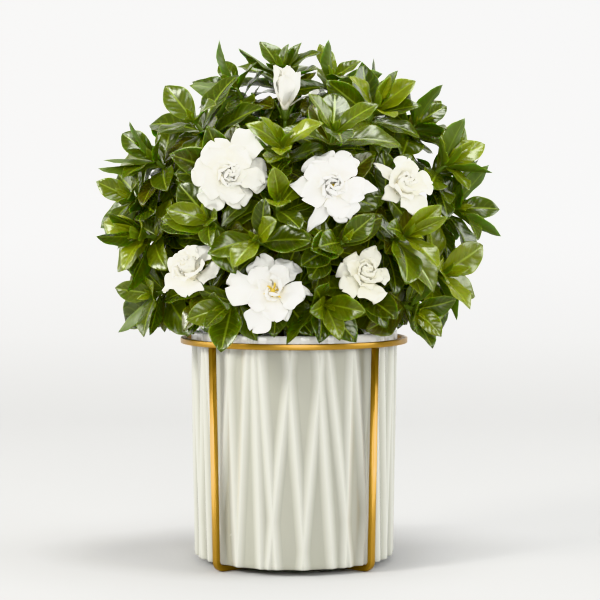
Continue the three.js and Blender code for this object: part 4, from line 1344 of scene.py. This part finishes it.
def drooping_blade(shoot, whorl, place, turn, lift, shorter, draw):
    """A leaf that hangs from a low shoot's tip, outside the ring."""
    out = unit([shoot["tip"][0], shoot["tip"][1], 0.0])
    across = np.cross(UP, out)
    heading = math.radians(DROOP_HEADINGS[place] + 30 * (draw[0] - 0.5) + turn)
    outward = out * math.cos(heading) + across * math.sin(heading)
    along = unit(outward * (0.62 - 0.006 * lift) - UP * (0.8 + 0.2 * draw[1]))
    side = unit(np.cross(along, unit(outward + UP * 0.6)))
    root = shoot["tip"] + outward * 1.5 - shoot["axis"] * 3
    length = DROOP_LENGTH * (0.9 + 0.2 * draw[2]) * shorter
    width = length * 0.6 * (0.9 + 0.2 * draw[3])
    return blade_of(root, along, side, length, width, -6 + 20 * draw[4], 8 + 12 * draw[5],
                    math.tau * draw[6], youth=0.12 + 0.3 * draw[3])


def edge_blade(shoot, whorl, place, turn, lift, shorter, draw):
    """A narrow leaf that stands out from a shoot at the plant's side or top."""
    out = unit([shoot["tip"][0], 0.15 * shoot["tip"][1], 1.1 * (shoot["tip"][2] - DOME_MIDDLE)])
    across = np.array([-out[2], 0.0, out[0]])
    swing = math.radians(EDGE_HEADINGS[place] + 26 * (draw[0] - 0.5) + turn)
    forward = np.array([0.0, -0.25 - 0.01 * lift, 0.0])
    along = unit(out * math.cos(swing) + across * math.sin(swing) + forward)
    side = unit(np.cross(along, unit(across + np.array([0.0, 1.8 * (draw[1] - 0.5), 0.0]))))
    root = shoot["tip"] - shoot["axis"] * 4 + along * 1.5
    length = EDGE_LENGTH * (0.9 + 0.2 * draw[2]) * shorter
    width = length * 0.44 * (0.85 + 0.3 * draw[3])
    return blade_of(root, along, side, length, width, -20 + 50 * draw[4], 14 + 12 * draw[5],
                    math.tau * draw[6], youth=0.06 + 0.4 * draw[3])


def inner_spots():
    """Where the inner leaves are tried, one after the other, as placed_leaf wants it."""
    for index, shoot in enumerate(shoots):
        if "bloom" not in shoot and (abs(shoot["tip"][0]) >= EDGE_BEYOND or shoot["tip"][2] >= EDGE_ABOVE):
            for place in range(len(EDGE_HEADINGS)):
                numbers = leaf_numbers(index, 0, place, *EDGE_NUMBERS)
                yield shoot, 0, place, edge_blade, *numbers, LEAF_DROP
    for index, shoot in enumerate(shoots):
        if shoot["tip"][2] <= DROOP_BELOW:
            for place in range(len(DROOP_HEADINGS)):
                numbers = leaf_numbers(index, 0, place, *DROOP_NUMBERS)
                yield shoot, 0, place, drooping_blade, *numbers, DROOP_REACH
    for whorl in range(LOW_WHORLS):
        for index, heading in enumerate(STEM_HEADINGS):
            for place in range(LOW_LEAVES):
                # The owner's number makes these leaves kin to the stems that they grow on.
                count = (index * LOW_WHORLS + whorl) * LOW_LEAVES + place
                yield heading, whorl, place, low_blade, LOW_SEED + count, LOW_OWNER - count, LEAF_DROP
    for whorl in range(len(INNER_STEPS)):
        for index, shoot in enumerate(shoots):
            for place in range(WHORL_LEAVES):
                numbers = leaf_numbers(index, whorl, place, *INNER_NUMBERS)
                yield shoot, whorl, place, inner_blade, *numbers, LEAF_DROP


def inner_sheet(blade):
    return leaf_sheet(blade, INNER_ROWS, INNER_COLUMNS)


def build_inner_leaves():
    tried = [placed_leaf(*spot, around=1) for spot in inner_spots()]
    grown = [blade for blade in tried if blade]
    points, faces, where, youth = blade_collection(grown, inner_sheet)
    make_piece("inner_leaves", points, faces, [leaf_finish], (), {"blade": where, "youth": youth})


build_inner_leaves()


# Blooms: double white flowers. The outer petals are broad and curl back at the edge, the inner ones cup each
# other, and all are soft and a little ruffled, with a cream tint towards the throat. Two blooms have their
# yellow stamens, and the others end in a closed heart that the small petals wrap.
PETAL_ROWS = 19
PETAL_COLUMNS = np.array([-1, -0.95, -0.78, -0.58, -0.38, -0.18, 0, 0.18, 0.38, 0.58, 0.78, 0.95, 1])
PETAL_THICKNESS = 0.8
CLAW_HALF_WIDTH = 1.4
BLOOM_SEED = 70
THROAT_SEED = 300
CURLS = {"open": (3.0, 2.2, 0.8), "half": (2.6, 1.4, 0.3), "bud": (1.5, 0.4, 0)}
RUFFLES = {"open": (2.2, 2.0, 1.3), "half": (1.8, 1.5, 0.8), "bud": (0.8, 0.6, 0.4)}
PETAL_WHITE = (0.965, 0.96, 0.93, 1)
PETAL_SHADE = (0.95, 0.94, 0.9, 1)
PETAL_WARM = (0.95, 0.93, 0.79, 1)
PETAL_THROAT = (0.97, 0.9, 0.68, 1)
STAMEN_YELLOW = (0.78, 0.62, 0.1, 1)
STAMEN_BROWN = (0.62, 0.42, 0.05, 1)


def full_outline(t):
    return t**0.8 * np.sqrt(1 - t**6) / 0.72


def pointed_outline(t):
    return np.sin(np.pi * t**1.25) ** 0.7


def petal_material():
    material, tree, shader = new_material("white_petal")
    parts = add_node(tree, "ShaderNodeSeparateXYZ", {"Vector": attribute(tree, "blade").outputs["Vector"]})
    throat = eased(tree, parts.outputs["X"], 0.05, 0.45, 0.65, 0.0)
    sway = mottle(tree, 150.0, 0.5, 0.62)
    tint = mixed(tree, sway.outputs["Amount"], PETAL_WHITE, PETAL_SHADE)
    tint = mixed(tree, attribute(tree, "youth").outputs["Fac"], tint, PETAL_WARM)
    tint = mixed(tree, throat, tint, PETAL_THROAT)
    lines = maths(tree, "SINE", maths(tree, "MULTIPLY", parts.outputs["Y"], 58.0))
    normal = bumped(tree, lines, 0.25, 0.00025)
    feed(tree, shader, Base_Color=tint, Roughness=sway.outputs["Roughness"], Normal=normal,
         Subsurface_Weight=0.25, Subsurface_Radius=(1.0, 0.95, 0.85), Subsurface_Scale=0.005)
    return material


def petal_sheet(blade):
    phase = blade["phase"]
    rows = np.sin(np.pi / 2 * np.linspace(0, 1, PETAL_ROWS)) ** 1.1
    ragged = 1 + 0.1 * np.sin(14 * rows + phase) * rows
    half = np.maximum(blade["width"] / 2 * blade["outline"](rows) * ragged, CLAW_HALF_WIDTH * (rows < 0.12))

    def shaped(face, facing, t, s):
        own_half = blade["width"] / 2 * blade["outline"](t)
        rounded = own_half * math.sin(blade["fold"]) * (s**2 - np.abs(s))
        waves = np.sin(math.tau * 2.9 * t + phase * np.where(s < 0, 1, 2))
        ruffle = blade["ruffle"] * np.abs(s) ** 2.5 * waves * t
        edge = 0.9 * np.clip((t - 0.5) / 0.5, 0, 1) ** 2 * np.sin(4.2 * s + phase * 2)
        lobe = 0.07 * blade["length"] * np.sin(5.5 * s + 3 * phase) * t**4
        curl = -blade["curl"] * (np.clip((t - 0.62) / 0.38, 0, 1) ** 2 + 0.45 * s**4 * t)
        crease = 0.5 * np.sin(9 * s + 3 * t + phase) * (1 - s**2) * t
        risen = (rounded + ruffle + edge + curl + crease)[..., None] * facing
        return face + risen + lobe[..., None] * blade["along"]

    return fine_blade(blade, rows, PETAL_COLUMNS, PETAL_THICKNESS, half, shaped)


# For each bloom: how creamy it is, how many small petals wind in towards its throat, and how far it spreads.
WARMTH = (0.35, 0.0, 0.6, 0.45, 0.05, 0.9, 0.4)
INNER_PETALS = (12, 8, 10, 9, 0, 10, 3)
SPREAD = (1.0, 1.0, 1.0, 1.0, 0.93, 0.85, 1.0)
# How far the heart stands past the form's core, in the two blooms with stamens and in the others.
HEARTS = {1: 5, 4: 0}
HEART = 14.5
THROAT_LEANS = {"open": 46, "half": 46, "bud": 12}
THROAT_LENGTHS = {"open": 19, "half": 17, "bud": 27}
THROAT_WIDTHS = {"open": 17, "half": 17, "bud": 13}
ANTHERS = 6


def inner_petals(shoot, index):
    """Small petals that wrap the throat, each inside the last and shorter and more upright."""
    form, axis = shoot["bloom"], shoot["axis"]
    rng = np.random.default_rng(THROAT_SEED + index)
    turn = rng.uniform(0, math.tau)
    petals = []
    for k in range(INNER_PETALS[index]):
        inward = k / 11
        risen = 7 + (3 if index in HEARTS else 6) * inward
        heading = turn + k * GOLDEN_ANGLE + rng.uniform(-0.1, 0.1)
        lean = THROAT_LEANS[form] * (1 - inward) * rng.uniform(0.92, 1.08)
        roll = math.radians(rng.uniform(10, 16))
        outward = outward_from(axis, heading)
        along, facing = leaning(axis, outward, math.radians(lean))
        root = shoot["base"] + axis * risen + outward * (3.6 - 1.6 * inward)
        length = THROAT_LENGTHS[form] * (1 - 0.4 * inward) * rng.uniform(0.93, 1.07)
        width = THROAT_WIDTHS[form] * (1 - 0.45 * inward)
        petals.append(blade_of(
            root, along, rolled(along, facing, roll), length, width, -0.75 * lean - 26, 24 + 26 * inward,
            rng.uniform(0, math.tau), outline=full_outline, wave=0.05, waves=1.5,
            youth=WARMTH[index], curl=0.5, ruffle=0.6,
        ))
    return petals


def stamen_parts(shoot):
    """The stubby stigma and the six yellow anthers round it."""
    axis = shoot["axis"]
    foot = shoot["base"] + axis * (BLOOM_FORMS[shoot["bloom"]]["core"] + SEAT)
    shares = np.linspace(0, 1, 9)
    radii = np.interp(shares, [0, 0.35, 0.5, 0.9, 1], [1.2, 1.1, 2.0, 1.7, 0.5])
    parts = [tube(foot + shares[:, None] * 8.3 * axis, radii, 10)]
    along = np.linspace(0, 1, 6)[:, None]
    for k in range(ANTHERS):
        outward = outward_from(axis, math.tau * (k + 0.3) / ANTHERS)
        anther = foot + axis * (0.6 + 2.2 * along) + outward * (1.6 + 6.5 * along)
        parts.append(tube(anther, (0.35, 0.8, 0.9, 0.85, 0.7, 0.2), 6))
    return parts


# Outer petals that stand out in a bloom: the bloom, the way the petal points as seen from the front in
# degrees, how much longer and wider it is, and how many degrees more it is folded. Folded ones are pointed.
ACCENTS = (
    (0, 80, 1.12, 1.1, 0), (0, 35, 1.1, 0.9, 0),
    (1, 5, 1.16, 0.6, 24), (1, 165, 1.1, 0.7, 16), (1, 245, 1.2, 0.75, 18),
    (2, 120, 1.3, 0.55, 34), (2, 205, 0.72, 0.8, 8), (2, 300, 1.15, 1.25, 0), (2, 0, 1.1, 1.1, 0),
    (3, 200, 1.2, 0.8, 22), (3, 100, 1.2, 1.1, 0),
    (4, 165, 1.22, 1.3, 0), (4, 215, 1.12, 1.15, 0), (4, 335, 1.0, 0.75, 30), (4, 270, 0.9, 0.8, 20),
    (5, 80, 1.15, 0.95, 10), (5, 180, 1.0, 1.15, 0), (5, 300, 1.0, 1.15, 0),
)


def accent_petals(petals, index):
    """Changes the outer petals of a bloom that point the ways listed for it."""
    outer = [petal for petal in petals if petal["level"] == 0]
    for bloom, heading, longer, wider, fold in ACCENTS:
        if bloom != index:
            continue
        heading = math.radians(heading)
        way = np.array([math.cos(heading), 0.0, math.sin(heading)])
        petal = max(outer, key=lambda petal: float(np.dot(petal["along"], way)))
        petal["length"] *= longer
        petal["width"] *= wider
        petal["fold"] += math.radians(fold)
        petal["outline"] = pointed_outline if fold else full_outline


def grown_petals(shoot, index):
    """Gives a bloom's petals their own lengths, widths, folds and tilts."""
    rng = np.random.default_rng(BLOOM_SEED + index)
    for petal in shoot["petals"]:
        petal["youth"] = WARMTH[index]
        petal["curl"] = CURLS[shoot["bloom"]][petal["level"]]
        petal["ruffle"] = RUFFLES[shoot["bloom"]][petal["level"]]
        petal["outline"] = full_outline
        petal["length"] *= rng.uniform(0.86, 1.06) * SPREAD[index]
        petal["width"] *= rng.uniform(0.8, 1.0) * SPREAD[index]
        petal["fold"] += math.radians(rng.choice((0, 0, 0, 16)))
        tilt = math.radians(rng.normal(0, 6))
        along, up = petal["along"], petal["up"]
        petal["along"] = along * math.cos(tilt) - up * math.sin(tilt)
        petal["up"] = up * math.cos(tilt) + along * math.sin(tilt)
    accent_petals(shoot["petals"], index)
    return shoot["petals"]


def heart(shoot, index):
    """The closed middle of a bloom, on which its stamens or its innermost petals stand."""
    shares = np.linspace(0, 1, 16)
    if index in HEARTS:
        radii = np.interp(shares, [0, 0.3, 0.9, 1], [3.2, 3.9 + 0.2 * HEARTS[index], 4.4, 2.6])
    else:
        radii = np.interp(shares, [0, 0.2, 0.6, 0.85, 0.95, 1], [3.2, 4.4, 4.2, 3.4, 2.4, 0.8])
    height = BLOOM_FORMS[shoot["bloom"]]["core"] + HEARTS.get(index, HEART)
    return tube(shoot["base"] + shares[:, None] * height * shoot["axis"], radii, 16)


def build_blooms():
    white = petal_material()
    yellow = mottled("stamen_yellow", 500.0, 0.55, 0.8, STAMEN_YELLOW, STAMEN_BROWN)
    for index, shoot in enumerate(shoots):
        if "bloom" not in shoot:
            continue
        petals = grown_petals(shoot, index) + inner_petals(shoot, index)
        points, faces, attributes, marks = with_plain_parts(petals, [heart(shoot, index)], petal_sheet)
        number = f"{index + 1:02d}"
        make_piece(f"petals_{number}", points, faces, [white, white], [f"bloom_{number}"],
                   attributes, marks)
        if f"stamens_{number}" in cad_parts:
            points, faces = joined(stamen_parts(shoot))
            make_piece(f"anthers_{number}", points, faces, [yellow], [f"stamens_{number}"])


build_blooms()
